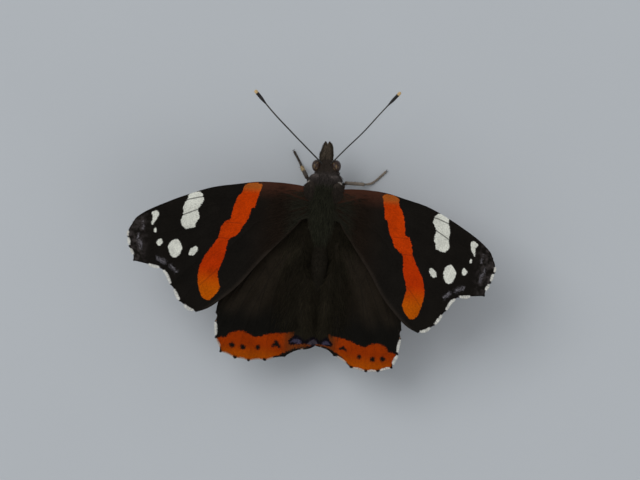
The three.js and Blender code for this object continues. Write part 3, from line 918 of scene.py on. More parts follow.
def tube(
    name: str, path: Array, radii: Points, finish: Finish, sides: int, rings: int, flatten: float = 1.0,
) -> tuple[Piece, Array]:
    """Makes a closed round piece along a path.

    Args:
        name: The piece's name.
        path: Points of the path, in body coordinates.
        radii: Share of the length and radius there, in order.
        finish: Its finish.
        sides: Number of faces round it.
        rings: Number of faces along it.
        flatten: Height of its section for a width of 1.

    Returns:
        The object, and the share of the length at each of its corners.
    """
    mesh = bmesh.new()
    bmesh.ops.create_uvsphere(mesh, u_segments=sides, v_segments=rings, radius=1)
    ball = corners(mesh)
    share = np.arccos(np.clip(-ball[:, 2], -1, 1)) / np.pi
    around = np.arctan2(ball[:, 1], ball[:, 0])
    ahead = ahead_on(path, share, step=1e-3)
    radius = np.interp(share, *np.asarray(radii, float).T)
    radius[np.abs(ball[:, 2]) > 1 - 1e-6] = 0
    along_x = abs(unit(path[-1] - path[0])[0]) >= 0.9
    right = unit(np.cross(ahead, (0.0, 1.0, 0.3) if along_x else (1.0, -0.6, 0.2)))
    up = np.cross(right, ahead)
    out = right * np.cos(around)[:, None] + up * np.sin(around)[:, None] * flatten
    made = to_object(name, mesh, walk(path, share) + radius[:, None] * out, finish)
    solid = bmesh.new()
    solid.from_mesh(made.data)
    bmesh.ops.recalc_face_normals(solid, faces=solid.faces)
    solid.to_mesh(made.data)
    solid.free()
    return made, share


@dataclass
class Hairs:
    """Hairs as arrays: one row for each hair."""

    roots: Array
    lie: Array
    droop: Array
    length: Array
    width: Array
    tint: Array
    unwrap: Array

    def __len__(self) -> int:
        """Counts the hairs."""
        return len(self.roots)

    @classmethod
    def merged(cls, sets: Sequence["Hairs"]) -> "Hairs":
        """Puts sets of hairs into one."""
        return cls(*(np.concatenate([getattr(part, entry.name) for part in sets]) for entry in fields(cls)))


@dataclass(frozen=True)
class Strand:
    """The shape that every hair repeats: a closed, tapered spike in a few rings."""

    sides: int = 3
    cuts: tuple[float, ...] = (0.35, 0.7)
    taper: float = 0.6
    patch: float = 0.003
    root_shade: float = 0.6
    tip_shade: float = 1.2

    def pattern(self) -> tuple[Array, Array, list[list[int]], Array]:
        """Makes the shape once with operators.

        Returns:
            Height of each corner, its direction from the axis, the faces, and a small unwrap of each
            face's corners.
        """
        mesh = bmesh.new()
        bmesh.ops.create_cone(mesh, cap_ends=True, segments=self.sides, radius1=1, radius2=0, depth=1)
        bmesh.ops.remove_doubles(mesh, verts=mesh.verts, dist=1e-5)
        for cut in self.cuts:
            whole = [*mesh.verts, *mesh.edges, *mesh.faces]
            bmesh.ops.bisect_plane(mesh, geom=whole, plane_co=(0, 0, cut - 0.5), plane_no=(0, 0, 1))
        mesh.verts.index_update()
        places = corners(mesh)
        height = places[:, 2] + 0.5
        away = unit(places[:, :2]) * (height < 1 - 1e-4)[:, None]
        faces = [[corner.index for corner in face.verts] for face in mesh.faces]
        mesh.free()
        spots = np.array([spot for face in faces for spot in self.unwrapped(face, height, away)])
        return height, away, faces, spots

    @staticmethod
    def unwrapped(face: list[int], height: Array, away: Array) -> list[Span]:
        """Unwraps one face of the shape.

        Args:
            face: Its corners.
            height: Height of all corners.
            away: Direction of all corners from the axis.

        Returns:
            A place from 0 to 1 for each of the face's corners.
        """
        middle = away[face].sum(axis=0)
        if np.ptp(height[face]) < 1e-4:
            return [(0.5 + 0.3 * away[i][0], 0.15 + 0.1 * away[i][1]) for i in face]
        facing = math.atan2(middle[1], middle[0])
        spots = []
        for i in face:
            turn = 0.0
            if np.any(away[i]):
                turn = (math.atan2(away[i][1], away[i][0]) - facing + math.pi) % (2 * math.pi) - math.pi
            spots.append((0.5 + (facing + turn) / (4 * math.pi), 0.3 + 0.7 * height[i]))
        return spots


def grow(name: str, hairs: Hairs, finish: Finish = HAIR, strand: Strand = Strand()) -> Piece:
    """Joins hairs into one solid mesh.

    Args:
        name: The piece's name.
        hairs: The hairs.
        finish: Their finish.
        strand: The shape that each one repeats.

    Returns:
        The object.
    """
    height, away, faces, spots = strand.pattern()
    count, size = len(hairs), len(height)
    h = height[None, :, None]
    side = unit(np.cross(hairs.lie, [0.31, 0.24, 0.92]))
    other = np.cross(hairs.lie, side)
    curve = hairs.lie[:, None] * h + hairs.droop[:, None] * h * h
    axis = hairs.roots[:, None] + hairs.length[:, None, None] * curve
    thick = hairs.width[:, None, None] * (1 - h) ** strand.taper / 2
    places = axis + thick * (side[:, None] * away[None, :, :1] + other[:, None] * away[None, :, 1:])
    data = bpy.data.meshes.new(name)
    data.vertices.add(count * size)
    data.vertices.foreach_set("co", to_metres(places.reshape(-1, 3)).astype(np.float32).ravel())
    loops = np.concatenate(faces)
    starts = np.concatenate([[0], np.cumsum([len(face) for face in faces])[:-1]])
    number = np.arange(count)[:, None]
    data.loops.add(count * len(loops))
    data.loops.foreach_set("vertex_index", (loops[None] + size * number).astype(np.int32).ravel())
    data.polygons.add(count * len(faces))
    data.polygons.foreach_set("loop_start", (starts[None] + len(loops) * number).astype(np.int32).ravel())
    data.update(calc_edges=True)
    low, high = hairs.unwrap.min(axis=0), hairs.unwrap.max(axis=0)
    spread = 0.005 + 0.985 * (hairs.unwrap - low) / (high - low)
    layer = data.uv_layers.new(name="OFBake")
    layer.uv.foreach_set("vector", (spread[:, None] + strand.patch * spots[None]).astype(np.float32).ravel())
    made = link(name, data, finish)
    shade = strand.root_shade + (strand.tip_shade - strand.root_shade) * height
    carry(made, "Tint", (hairs.tint[:, None] * shade[None, :, None]).reshape(-1, 3), colour=True)
    return made


# Body


@dataclass
class Body:
    """Head, thorax and abdomen under one skin. Stations run from the face to the tail."""

    # Body y, half width, half height and height of the centre
    stations: Points = (
        (15.22, 0.3, 0.4, 7.02), (15.0, 0.85, 0.9, 7.08), (14.3, 1.25, 1.3, 7.2), (13.6, 1.5, 1.5, 7.25),
        (13.0, 1.9, 1.5, 7.25), (12.4, 2.15, 1.45, 7.25), (11.9, 2.25, 1.6, 7.3), (10.6, 2.25, 2.05, 7.3),
        (8.5, 2.4, 2.5, 7.3), (6.0, 2.45, 2.6, 7.2), (3.8, 2.1, 2.25, 7.0), (2.2, 1.65, 1.75, 6.95),
        (1.1, 1.2, 1.25, 6.92), (0.0, 1.42, 1.48, 6.8), (-2.0, 1.52, 1.58, 6.55), (-4.0, 1.42, 1.48, 6.2),
        (-6.0, 1.13, 1.2, 5.85), (-7.6, 0.78, 0.85, 5.55), (-8.5, 0.42, 0.48, 5.4),
        (-8.85, 0.12, 0.16, 5.35),
    )
    power: float = 2.2
    neck: Place = (0.0, 12.6, 7.2)
    head_turn: float = math.radians(3)
    joints: tuple[float, ...] = (-0.4, -1.55, -2.7, -3.85, -5.0, -6.1, -7.1, -8.0)
    groove: float = 0.07
    blur: float = 0.28
    sides: int = 72
    rings: int = 190
    back: Colour = (0.034, 0.034, 0.022)
    flank: Colour = (0.042, 0.035, 0.025)
    chest: Colour = (0.10, 0.082, 0.062)
    crown: Colour = (0.052, 0.04, 0.032)
    cheek: Colour = (0.12, 0.095, 0.075)
    collar: Colour = (0.06, 0.05, 0.045)
    tail: Colour = (0.019, 0.0155, 0.0105)
    belly: Colour = (0.15, 0.11, 0.075)
    skin_shade: float = 0.8
    table: Array = field(init=False)

    def __post_init__(self) -> None:
        """Blends the stations into an even table."""
        rows = np.asarray(self.stations)[::-1]
        y = np.linspace(rows[0, 0], rows[-1, 0], 600)
        step = y[1] - y[0]
        reach = np.arange(-3 * self.blur, 3 * self.blur + step, step)
        kernel = np.exp(-((reach / self.blur) ** 2))
        kernel /= kernel.sum()
        columns = [y]
        for k in (1, 2, 3):
            plain = np.interp(y, rows[:, 0], rows[:, k])
            padded = np.pad(plain, len(kernel) // 2, mode="edge")
            columns.append(np.convolve(padded, kernel, mode="valid")[: len(y)])
        self.table = np.stack(columns, axis=1)

    def section(self, y: Array) -> tuple[Array, Array, Array]:
        """Reads the skin's section.

        Args:
            y: Places along the body.

        Returns:
            Half width, half height and height of the centre.
        """
        end = smooth(self.table[0, 0] - 0.01, self.table[0, 0] + 0.5, y)
        front = smooth(self.table[-1, 0] + 0.01, self.table[-1, 0] - 0.35, y)
        cap = np.sqrt(np.clip(end * front, 0, 1))
        wide, high, centre = (np.interp(y, self.table[:, 0], self.table[:, k]) for k in (1, 2, 3))
        for joint in self.joints:
            dip = self.groove * np.exp(-(((y - joint) / 0.09) ** 2))
            wide, high = wide - dip, high - dip
        return wide * cap, high * cap, centre

    def at(self, y: Array, turn: Array) -> Array:
        """Places points on the skin.

        Args:
            y: Places along the body.
            turn: Turns round it, 0 at the top and 0.25 on the right.

        Returns:
            Body coordinates.
        """
        wide, high, centre = self.section(y)
        across, up = np.sin(2 * np.pi * turn), np.cos(2 * np.pi * turn)
        size = (np.abs(across) ** self.power + np.abs(up) ** self.power) ** (1 / self.power)
        flat = np.stack([across / size * wide, y, centre + up / size * high], axis=-1)
        return self.turned(flat)

    def turned(self, places: Array) -> Array:
        """Turns what lies in front of the neck with the head.

        Args:
            places: Body coordinates.

        Returns:
            The turned body coordinates.
        """
        angle = self.head_turn * smooth(12.0, 12.9, places[..., 1])
        x, y = places[..., 0], places[..., 1] - self.neck[1]
        turned_x = x * np.cos(angle) - y * np.sin(angle)
        turned_y = x * np.sin(angle) + y * np.cos(angle)
        return np.stack([turned_x, turned_y + self.neck[1], places[..., 2]], axis=-1)

    def head_place(self, points: Points) -> Array:
        """Takes points from the head's own frame at the neck to body coordinates."""
        return self.turned(np.asarray(points, float) + np.array(self.neck))

    def lie(self, y: Array, turn: Array) -> tuple[Array, Array]:
        """Finds the way back along the skin, and the way out of it."""
        back = unit(self.at(y - 0.02, turn) - self.at(y + 0.02, turn))
        return back, unit(np.cross(unit(self.at(y, turn + 0.002) - self.at(y, turn - 0.002)), -back))

    def tint(self, y: Array, turn: Array) -> Array:
        """Colours skin and coat alike.

        Args:
            y: Places along the body.
            turn: Turns round it.

        Returns:
            A colour for each place.
        """
        up = np.cos(2 * np.pi * turn)[:, None]
        y = y[:, None]
        colour = blend(self.flank, self.back, smooth(0.2, 0.9, up))
        colour = blend(colour, self.chest, smooth(-0.2, -0.8, up))
        colour = blend(colour, self.collar, smooth(11.0, 11.5, y))
        face = blend(self.crown, self.cheek, smooth(0.3, -0.5, up))
        colour = blend(colour, face, smooth(12.6, 13.2, y))
        rear = blend(self.tail, self.belly, smooth(0.0, -0.65, up))
        return blend(colour, rear, smooth(2.0, 0.6, y))

    def skin(self) -> None:
        """Makes the skin from one ball that is drawn out along the body."""
        mesh = bmesh.new()
        bmesh.ops.create_uvsphere(mesh, u_segments=self.sides, v_segments=self.rings, radius=1)
        ball = corners(mesh)
        share = np.arccos(np.clip(ball[:, 2], -1, 1)) / np.pi
        y = blend(self.table[-1, 0], self.table[0, 0], share)
        turn = np.arctan2(ball[:, 0], ball[:, 1]) / (2 * np.pi)
        places = self.at(y, turn)
        bmesh.ops.reverse_faces(mesh, faces=mesh.faces)
        made = to_object("body_skin", mesh, places, SKIN)
        carry(made, "Tint", self.tint(y, turn) * self.skin_shade, colour=True)
        enrol(made, "body_hair", "head", "thorax", "abdomen")

    def sow(self, front: float, rear: float, spacing: float, rng: Rng) -> tuple[Array, Array]:
        """Spreads roots evenly over a stretch of the skin.

        Args:
            front: Body y where the stretch starts.
            rear: Body y where it ends.
            spacing: Distance between two roots.
            rng: The random numbers.

        Returns:
            Body y and turn of each root.
        """
        ys, turns = [], []
        for y in np.arange(front, rear, -spacing):
            wide, high, _ = self.section(np.array([y]))
            count = max(int(np.pi * (wide + high)[0] / spacing), 5)
            turns.append((np.arange(count) + rng.random(count)) / count)
            ys.append(y - spacing * rng.random(count))
        return np.concatenate(ys), np.concatenate(turns)


@dataclass(frozen=True)
class BodyCoat:
    """The hair on one stretch of the body."""

    name: str
    slot: str
    front: float
    rear: float
    spacing: float
    length: Span
    width: float
    lift: float
    forwards: bool = False
    curl: float = 0.3
    stray: float = 0.16
    sunk: float = 0.06
    seed: int = SEED

    def build(self, body: Body) -> None:
        """Grows the hair on the body.

        Args:
            body: The body with its skin.
        """
        rng = np.random.default_rng(self.seed)
        y, turn = body.sow(self.front, self.rear, self.spacing, rng)
        count = len(y)
        back, out = body.lie(y, turn)
        along = -back if self.forwards else back
        lift = self.lift * vary(rng, (count, 1))
        hairs = Hairs(
            roots=body.at(y, turn) - out * self.sunk,
            lie=unit(along + out * lift + rng.normal(0, self.stray, (count, 3))),
            droop=self.curl * (along * 0.4 - out * 0.6 * np.clip(lift, 0, 1)),
            length=blend(*self.length, rng.random(count) ** 1.3),
            width=self.width * vary(rng, count),
            tint=body.tint(y, turn) * vary(rng, (count, 1), 0.65, 0.7),
            unwrap=np.stack([turn % 1, -y], axis=1),
        )
        enrol(grow(self.name, hairs), self.slot)


BODY_COATS = (
    BodyCoat("coat_thorax", "body_hair", 12.8, 1.2, 0.17, (0.8, 1.5), 0.10, 0.55),
    BodyCoat(
        "coat_thorax_long", "body_hair", 10.5, 2.0, 0.42, (1.3, 2.1), 0.07, 0.6, curl=0.45, seed=SEED + 1,
    ),
    BodyCoat("coat_abdomen", "abdomen", 1.4, -8.6, 0.15, (0.35, 0.6), 0.10, 0.3, seed=SEED + 2),
    BodyCoat(
        "coat_head", "body_hair", 14.95, 12.5, 0.13, (0.35, 0.75), 0.06, 0.9, forwards=True, seed=SEED + 3,
    ),
)


@dataclass(frozen=True)
class Pad:
    """A hairy pad on the thorax, such as the one that covers a forewing's root."""

    name: str
    centre: Place
    size: Place
    count: int
    tint: Colour
    length: Span
    shift: float = 0.0
    width: float = 0.09
    stray: float = 0.15
    sunk: float = 0.05

    def build(self, side: Side) -> None:
        """Makes the pad and the hair that it is hidden under.

        Args:
            side: The side that it lies on.
        """
        mesh = bmesh.new()
        bmesh.ops.create_icosphere(mesh, subdivisions=4, radius=1)
        middle = np.array(self.centre) * side.mirror + [self.shift, 0, 0]
        ball = corners(mesh)
        made = to_object(f"{self.name}_{side.word}", mesh, ball * self.size + middle, SKIN)
        carry(made, "Tint", np.tile(self.tint, (len(ball), 1)), colour=True)
        rng = np.random.default_rng(SEED + 100 + self.count + side.value)
        way = unit(rng.normal(0, 1, (self.count, 3)))
        way[:, 2] = np.abs(way[:, 2]) * 1.2 - 0.2
        way = unit(way)
        out = unit(way / np.array(self.size))
        back = np.array([0.25 * side.value, -1.0, -0.1])
        lift = vary(rng, (self.count, 1), 0.3, 0.3)
        hairs = Hairs(
            roots=way * self.size + middle - out * self.sunk,
            lie=unit(back + out * lift + rng.normal(0, self.stray, (self.count, 3))),
            droop=-out * 0.2,
            length=blend(*self.length, rng.random(self.count)),
            width=self.width * vary(rng, self.count),
            tint=np.array(self.tint) * vary(rng, (self.count, 1), 0.7, 0.7),
            unwrap=np.stack([np.arctan2(way[:, 1], way[:, 0]), way[:, 2]], axis=1),
        )
        enrol(grow(f"coat_{self.name}_{side.word}", hairs), "body_hair")
        enrol(made, "body_hair")


PADS = (
    Pad("shoulder", (2.25, 9.9, 8.75), (1.0, 1.45, 0.75), 1500, (0.038, 0.03, 0.024), (0.7, 1.5)),
    Pad("collar", (1.35, 11.95, 7.95), (1.15, 0.8, 0.85), 1100, (0.075, 0.062, 0.057), (0.4, 0.8), -0.2),
    Pad("collar_tuft", (2.2, 11.45, 8.15), (0.42, 0.32, 0.3), 220, (0.5, 0.45, 0.4), (0.5, 0.9), -0.15),
)


# Wings


@dataclass
class Wing:
    """A wing. Its plan is that of a right one: x out from the body's axis, y towards the head."""

    side: Side
    body: Body
    sweep: float = 0.0
    span: float = 29.0
    arch: float = 0.8
    rear_sag: float = 0.006
    rear_start: float = -6.0
    scallop_depth: float = 0.3
    fringe_inset: float = 0.12
    fringe_reach: float = 0.46
    fringe_pitch: float = 0.02
    fringe_warm: Colour = (0.45, 0.25, 0.16)
    fringe_white: Colour = (0.78, 0.77, 0.71)
    fringe_black: Colour = (0.014, 0.011, 0.0095)
    thickness: float = 0.26
    membrane_share: float = 0.36
    pleat: float = 0.1
    pleat_width: float = 0.55
    ripple: float = 0.07
    vein_width: float = 0.16
    heading_step: float = 0.05
    columns: int = 250
    rows: int = 150

    word: ClassVar[str] = ""
    root: ClassVar[Place] = (0.0, 0.0, 0.0)
    rise: ClassVar[float] = 0.0
    costa: ClassVar[Points] = ()
    vein_ends: ClassVar[Points] = ()
    inner_margin: ClassVar[Points] = ()
    veins: ClassVar[Mapping[str, Points]] = {}
    # How much shorter one side's wing is, how far it bends back, and where in x that starts and is full
    trim: ClassVar[Mapping[Side, float]] = {}
    bend: ClassVar[Mapping[Side, float]] = {}
    trim_span: ClassVar[Span] = (0.0, 1.0)
    bend_span: ClassVar[Span] = (0.0, 1.0)
    # How deep each scallop is, as a share of the full depth
    scallops: ClassVar[Sequence[float]] = ()
    # Start and end of the white in each scallop, and how white and long it is
    white_fringe: ClassVar[Mapping[Side, Points]] = {}

    @property
    def name(self) -> str:
        """The wing's name with its side."""
        return f"{self.word}_{self.side.word}"

    def dip(self, cell: int, length: float, t: Array) -> Array:
        """Gives how far a scallop falls in from the straight line between two vein ends.

        Args:
            cell: The scallop's number, from the tip.
            length: The length of that line.
            t: Shares of it.

        Returns:
            The dip at each share.
        """
        depth = min(self.scallop_depth, length / 6, 1.1 / length)
        if self.scallops:
            depth *= self.scallops[cell]
        return depth * np.sin(np.pi * t) ** 1.3

    def cells(self) -> Iterator[tuple[Array, Array, float, Array, int]]:
        """Follows the outer margin from vein end to vein end.

        Yields:
            For each scallop its start, the way to its end, the length of that, the way in, and its number.
        """
        ends = np.asarray(self.vein_ends)
        for i, (start, end) in enumerate(zip(ends, ends[1:])):
            run = end - start
            length = np.linalg.norm(run)
            yield start, run, length, np.array([run[1], -run[0]]) / length, i

    def margin(self) -> Array:
        """Draws the membrane's scalloped outer margin, inside its fringe.

        Returns:
            Points from the tip to the hind corner.
        """
        t = np.linspace(0, 1, 24, endpoint=False)[:, None]
        points = []
        for start, run, length, inwards, cell in self.cells():
            points.append(start + run * t + inwards * (self.dip(cell, length, t) + self.fringe_inset))
        line = np.vstack([*points, self.vein_ends[-1:]])
        line[0] = self.vein_ends[0]
        return line

    def patch(self, s: Array, t: Array) -> Array:
        """Spreads a square over the plan.

        Args:
            s: 0 at the body and 1 at the outer margin.
            t: 0 at the front edge and 1 at the inner margin.

        Returns:
            Places in the plan.
        """
        front, rear = spline(self.costa), spline(self.inner_margin)[::-1]
        outer = self.margin()
        s, t = s[:, None], t[:, None]
        edges = (1 - t) * walk(front, s[:, 0]) + t * walk(rear, s[:, 0])
        ends = (1 - s) * (front[0] + (rear[0] - front[0]) * t) + s * walk(outer, t[:, 0])
        flat = (1 - s) * ((1 - t) * front[0] + t * rear[0]) + s * ((1 - t) * front[-1] + t * rear[-1])
        return edges + ends - flat

    def camber(self, plan: Array) -> Array:
        """Gives the height of the middle surface over places in the flat plan."""
        height = self.arch * np.sin(np.pi * np.clip((plan[:, 0] - self.root[0]) / self.span, 0, 1))
        return height - self.rear_sag * np.maximum(0, self.rear_start - plan[:, 1]) ** 2

    def vein_lines(self) -> list[Array]:
        """Draws each vein as a smooth line."""
        return [spline(vein, steps=6) for vein in self.veins.values()]

    def relief(self, plan: Array) -> Array:
        """Gives the small pleats between the veins.

        Args:
            plan: Places in the plan.

        Returns:
            The height of each place over the camber.
        """
        height = np.zeros(len(plan))
        for i, line in enumerate(self.vein_lines()):
            sign = 1 if i % 2 == 0 else -0.6
            height += sign * self.pleat * np.exp(-((distance(plan, line) / self.pleat_width) ** 2))
        wave = np.sin(plan[:, 0] * 0.9 + plan[:, 1] * 0.35) * np.sin(plan[:, 1] * 0.8 + 1.3)
        return height + self.ripple * wave

    def place(self, plan: Array, detail: bool = False) -> Array:
        """Takes places in the plan to body coordinates.

        Args:
            plan: Places in the plan.
            detail: Whether the pleats are added.

        Returns:
            Body coordinates.
        """
        out = plan[:, 0] - self.root[0] - self.trim.get(self.side, 0.0) * smooth(*self.trim_span, plan[:, 0])
        height = self.camber(plan) + (self.relief(plan) if detail else 0)
        x = self.side.value * out * math.cos(self.rise)
        y = plan[:, 1] - self.root[1] - self.bend.get(self.side, 0.0) * smooth(*self.bend_span, plan[:, 0])
        z = out * math.sin(self.rise) + height
        angle = -self.side.value * self.sweep
        places = np.stack([
            x * math.cos(angle) - y * math.sin(angle) + self.side.value * self.root[0],
            x * math.sin(angle) + y * math.cos(angle) + self.root[1],
            z + self.root[2],
        ], axis=1)
        return self.cleared(places, plan)

    def cleared(self, places: Array, plan: Array) -> Array:
        """Keeps the wing clear of its neighbours. Only the hindwing has to."""
        return places

    def heading(self, plan: Array, towards: Array) -> Array:
        """Takes a direction at each place in the plan to a direction in body coordinates."""
        return unit(self.place(plan + self.heading_step * unit(towards)) - self.place(plan))

    def normal(self, plan: Array) -> Array:
        """Finds the way up out of the wing at places in the plan."""
        along, forwards = (self.heading(plan, np.tile(way, (len(plan), 1))) for way in ((1.0, 0.0), (0.0, 1.0)))
        return unit(np.cross(along, forwards)) * self.side.value

    def markings(self, plan: Array) -> dict[str, Array]:
        """Measures how deep places lie in each marking. Each wing has its own."""
        raise NotImplementedError

    def finishes(self) -> tuple[Finish, Finish]:
        """Names the finish of the upper face and that of the underside."""
        raise NotImplementedError

    def build(self) -> None:
        """Makes the membrane with its veins."""
        mesh = bmesh.new()
        bmesh.ops.create_grid(mesh, x_segments=self.columns, y_segments=self.rows, size=0.5)
        square = corners(mesh)[:, :2]
        square = (square - square.min(axis=0)) / np.ptp(square, axis=0)
        plan = self.patch(square[:, 0], 1 - square[:, 1])
        places = self.place(plan, detail=True)
        facing_up(mesh, places)
        veins = np.min([distance(plan, line) for line in self.vein_lines()], axis=0)
        rim = distance(plan, self.margin())
        share = blend(self.membrane_share, 1, np.exp(-((veins / self.vein_width) ** 2)))
        share *= 0.35 + 0.65 * smooth(0.0, 1.2, rim)
        layer = mesh.verts.layers.deform.verify()
        for corner, weight in zip(mesh.verts, share):
            corner[layer][0] = float(weight)
        made = to_object(f"{self.name}_scaled", mesh, places, *self.finishes())
        made.vertex_groups.new(name="Thickness")
        carry(made, "Plan", np.column_stack([plan, np.full(len(plan), 9.0 * self.side.value)]))
        carry(made, "Vein", veins)
        carry(made, "Rim", rim)
        for label, depth in self.markings(plan).items():
            carry(made, label, depth)
        shell = made.modifiers.new("Thickness", "SOLIDIFY")
        shell.thickness = self.thickness * MM
        shell.offset = 0
        shell.vertex_group = "Thickness"
        shell.thickness_vertex_group = 0
        shell.material_offset = 1
        enrol(made, self.word, self.name)

    def fringe(self) -> None:
        """Grows the fringe of long scales along the outer margin, in two layers."""
        rng = np.random.default_rng(SEED + 5 + self.side.value)
        rows = []
        for start, run, length, inwards, cell in self.cells():
            count = int(length / self.fringe_pitch)
            t = (np.arange(count)[:, None] + rng.random((count, 1))) / count
            depth = vary(rng, (count, 1), 0.03, 0.12)
            root = start + run * t + inwards * (self.dip(cell, length, t) + self.fringe_inset + depth)
            aim = -inwards + run / length * rng.normal(0, 0.12, (count, 1))
            way = length * np.minimum(t, 1 - t)
            rows.append(np.hstack([root, aim, np.full((count, 1), cell), t, depth, way]))
        table = np.vstack(rows)
        plan, aim = table[:, :2], table[:, 2:4]
        cell, share, depth, way = table[:, 4:].T
        first, last, strength = np.asarray(self.white_fringe[self.side])[cell.astype(int)].T
        count = len(plan)
        pale = smooth(-0.03, 0.03, np.minimum(share - first, last - share)) > rng.random(count) * 0.8 + 0.1
        swell = np.sin(np.pi * np.clip((share - first) / (last - first), 0, 1)) ** 0.6
        white_reach = self.fringe_reach * strength * (0.5 + 0.5 * swell)
        reach = np.where(pale, white_reach, 0.08 + 0.14 * np.exp(-((way / 0.25) ** 2)))
        white = blend(self.fringe_warm, self.fringe_white, smooth(0.2, 0.8, strength)[:, None])
        up = np.where(rng.random(count) < 0.5, 1.0, -1.0)[:, None] * self.normal(plan)
        hairs = Hairs(
            length=depth + reach * vary(rng, count, 0.8, 0.4),
            roots=self.place(plan, detail=True) + up * 0.03,
            lie=unit(self.heading(plan, aim) + up * 0.06),
            droop=-up * 0.08,
            width=0.09 * vary(rng, count),
            tint=np.where(pale[:, None], white, self.fringe_black) * vary(rng, (count, 1), 0.75, 0.5),
            unwrap=np.stack([(cell + share) / len(self.vein_ends), rng.random(count)], axis=1),
        )
        enrol(grow(f"{self.name}_fringe", hairs, strand=Strand(taper=0.4, root_shade=0.85)), self.word)

    def base_hair(
        self, count: int, length: Span, keep: Callable[[Array], Array], aim: Callable[[Array], Array],
        tint: Callable[[Array], Array],
    ) -> None:
        """Grows the long soft hair near the body.

        Args:
            count: Number of hairs before some are dropped.
            length: Shortest and longest hair.
            keep: Gives the chance of a hair at each place in the plan.
            aim: Gives its direction in the plan.
            tint: Gives its colour at each place in the plan.
        """
        rng = np.random.default_rng(SEED + 20 + self.side.value)
        plan = self.patch(rng.random(count), rng.random(count))
        plan = plan[rng.random(count) < keep(plan)]
        count = len(plan)
        up = self.normal(plan)
        aims = unit(aim(plan)) + rng.normal(0, 0.12, (count, 2))
        hairs = Hairs(
            roots=self.place(plan, detail=True) + up * 0.02,
            lie=unit(self.heading(plan, aims) + up * vary(rng, (count, 1), 0.12, 0.22)),
            droop=-up * vary(rng, (count, 1), 0.1, 0.15),
            length=blend(*length, rng.random(count)),
            width=0.055 * vary(rng, count),
            tint=tint(plan) * vary(rng, (count, 1), 0.6, 0.8),
            unwrap=plan,
        )
        enrol(grow(f"{self.name}_hair", hairs), self.word)


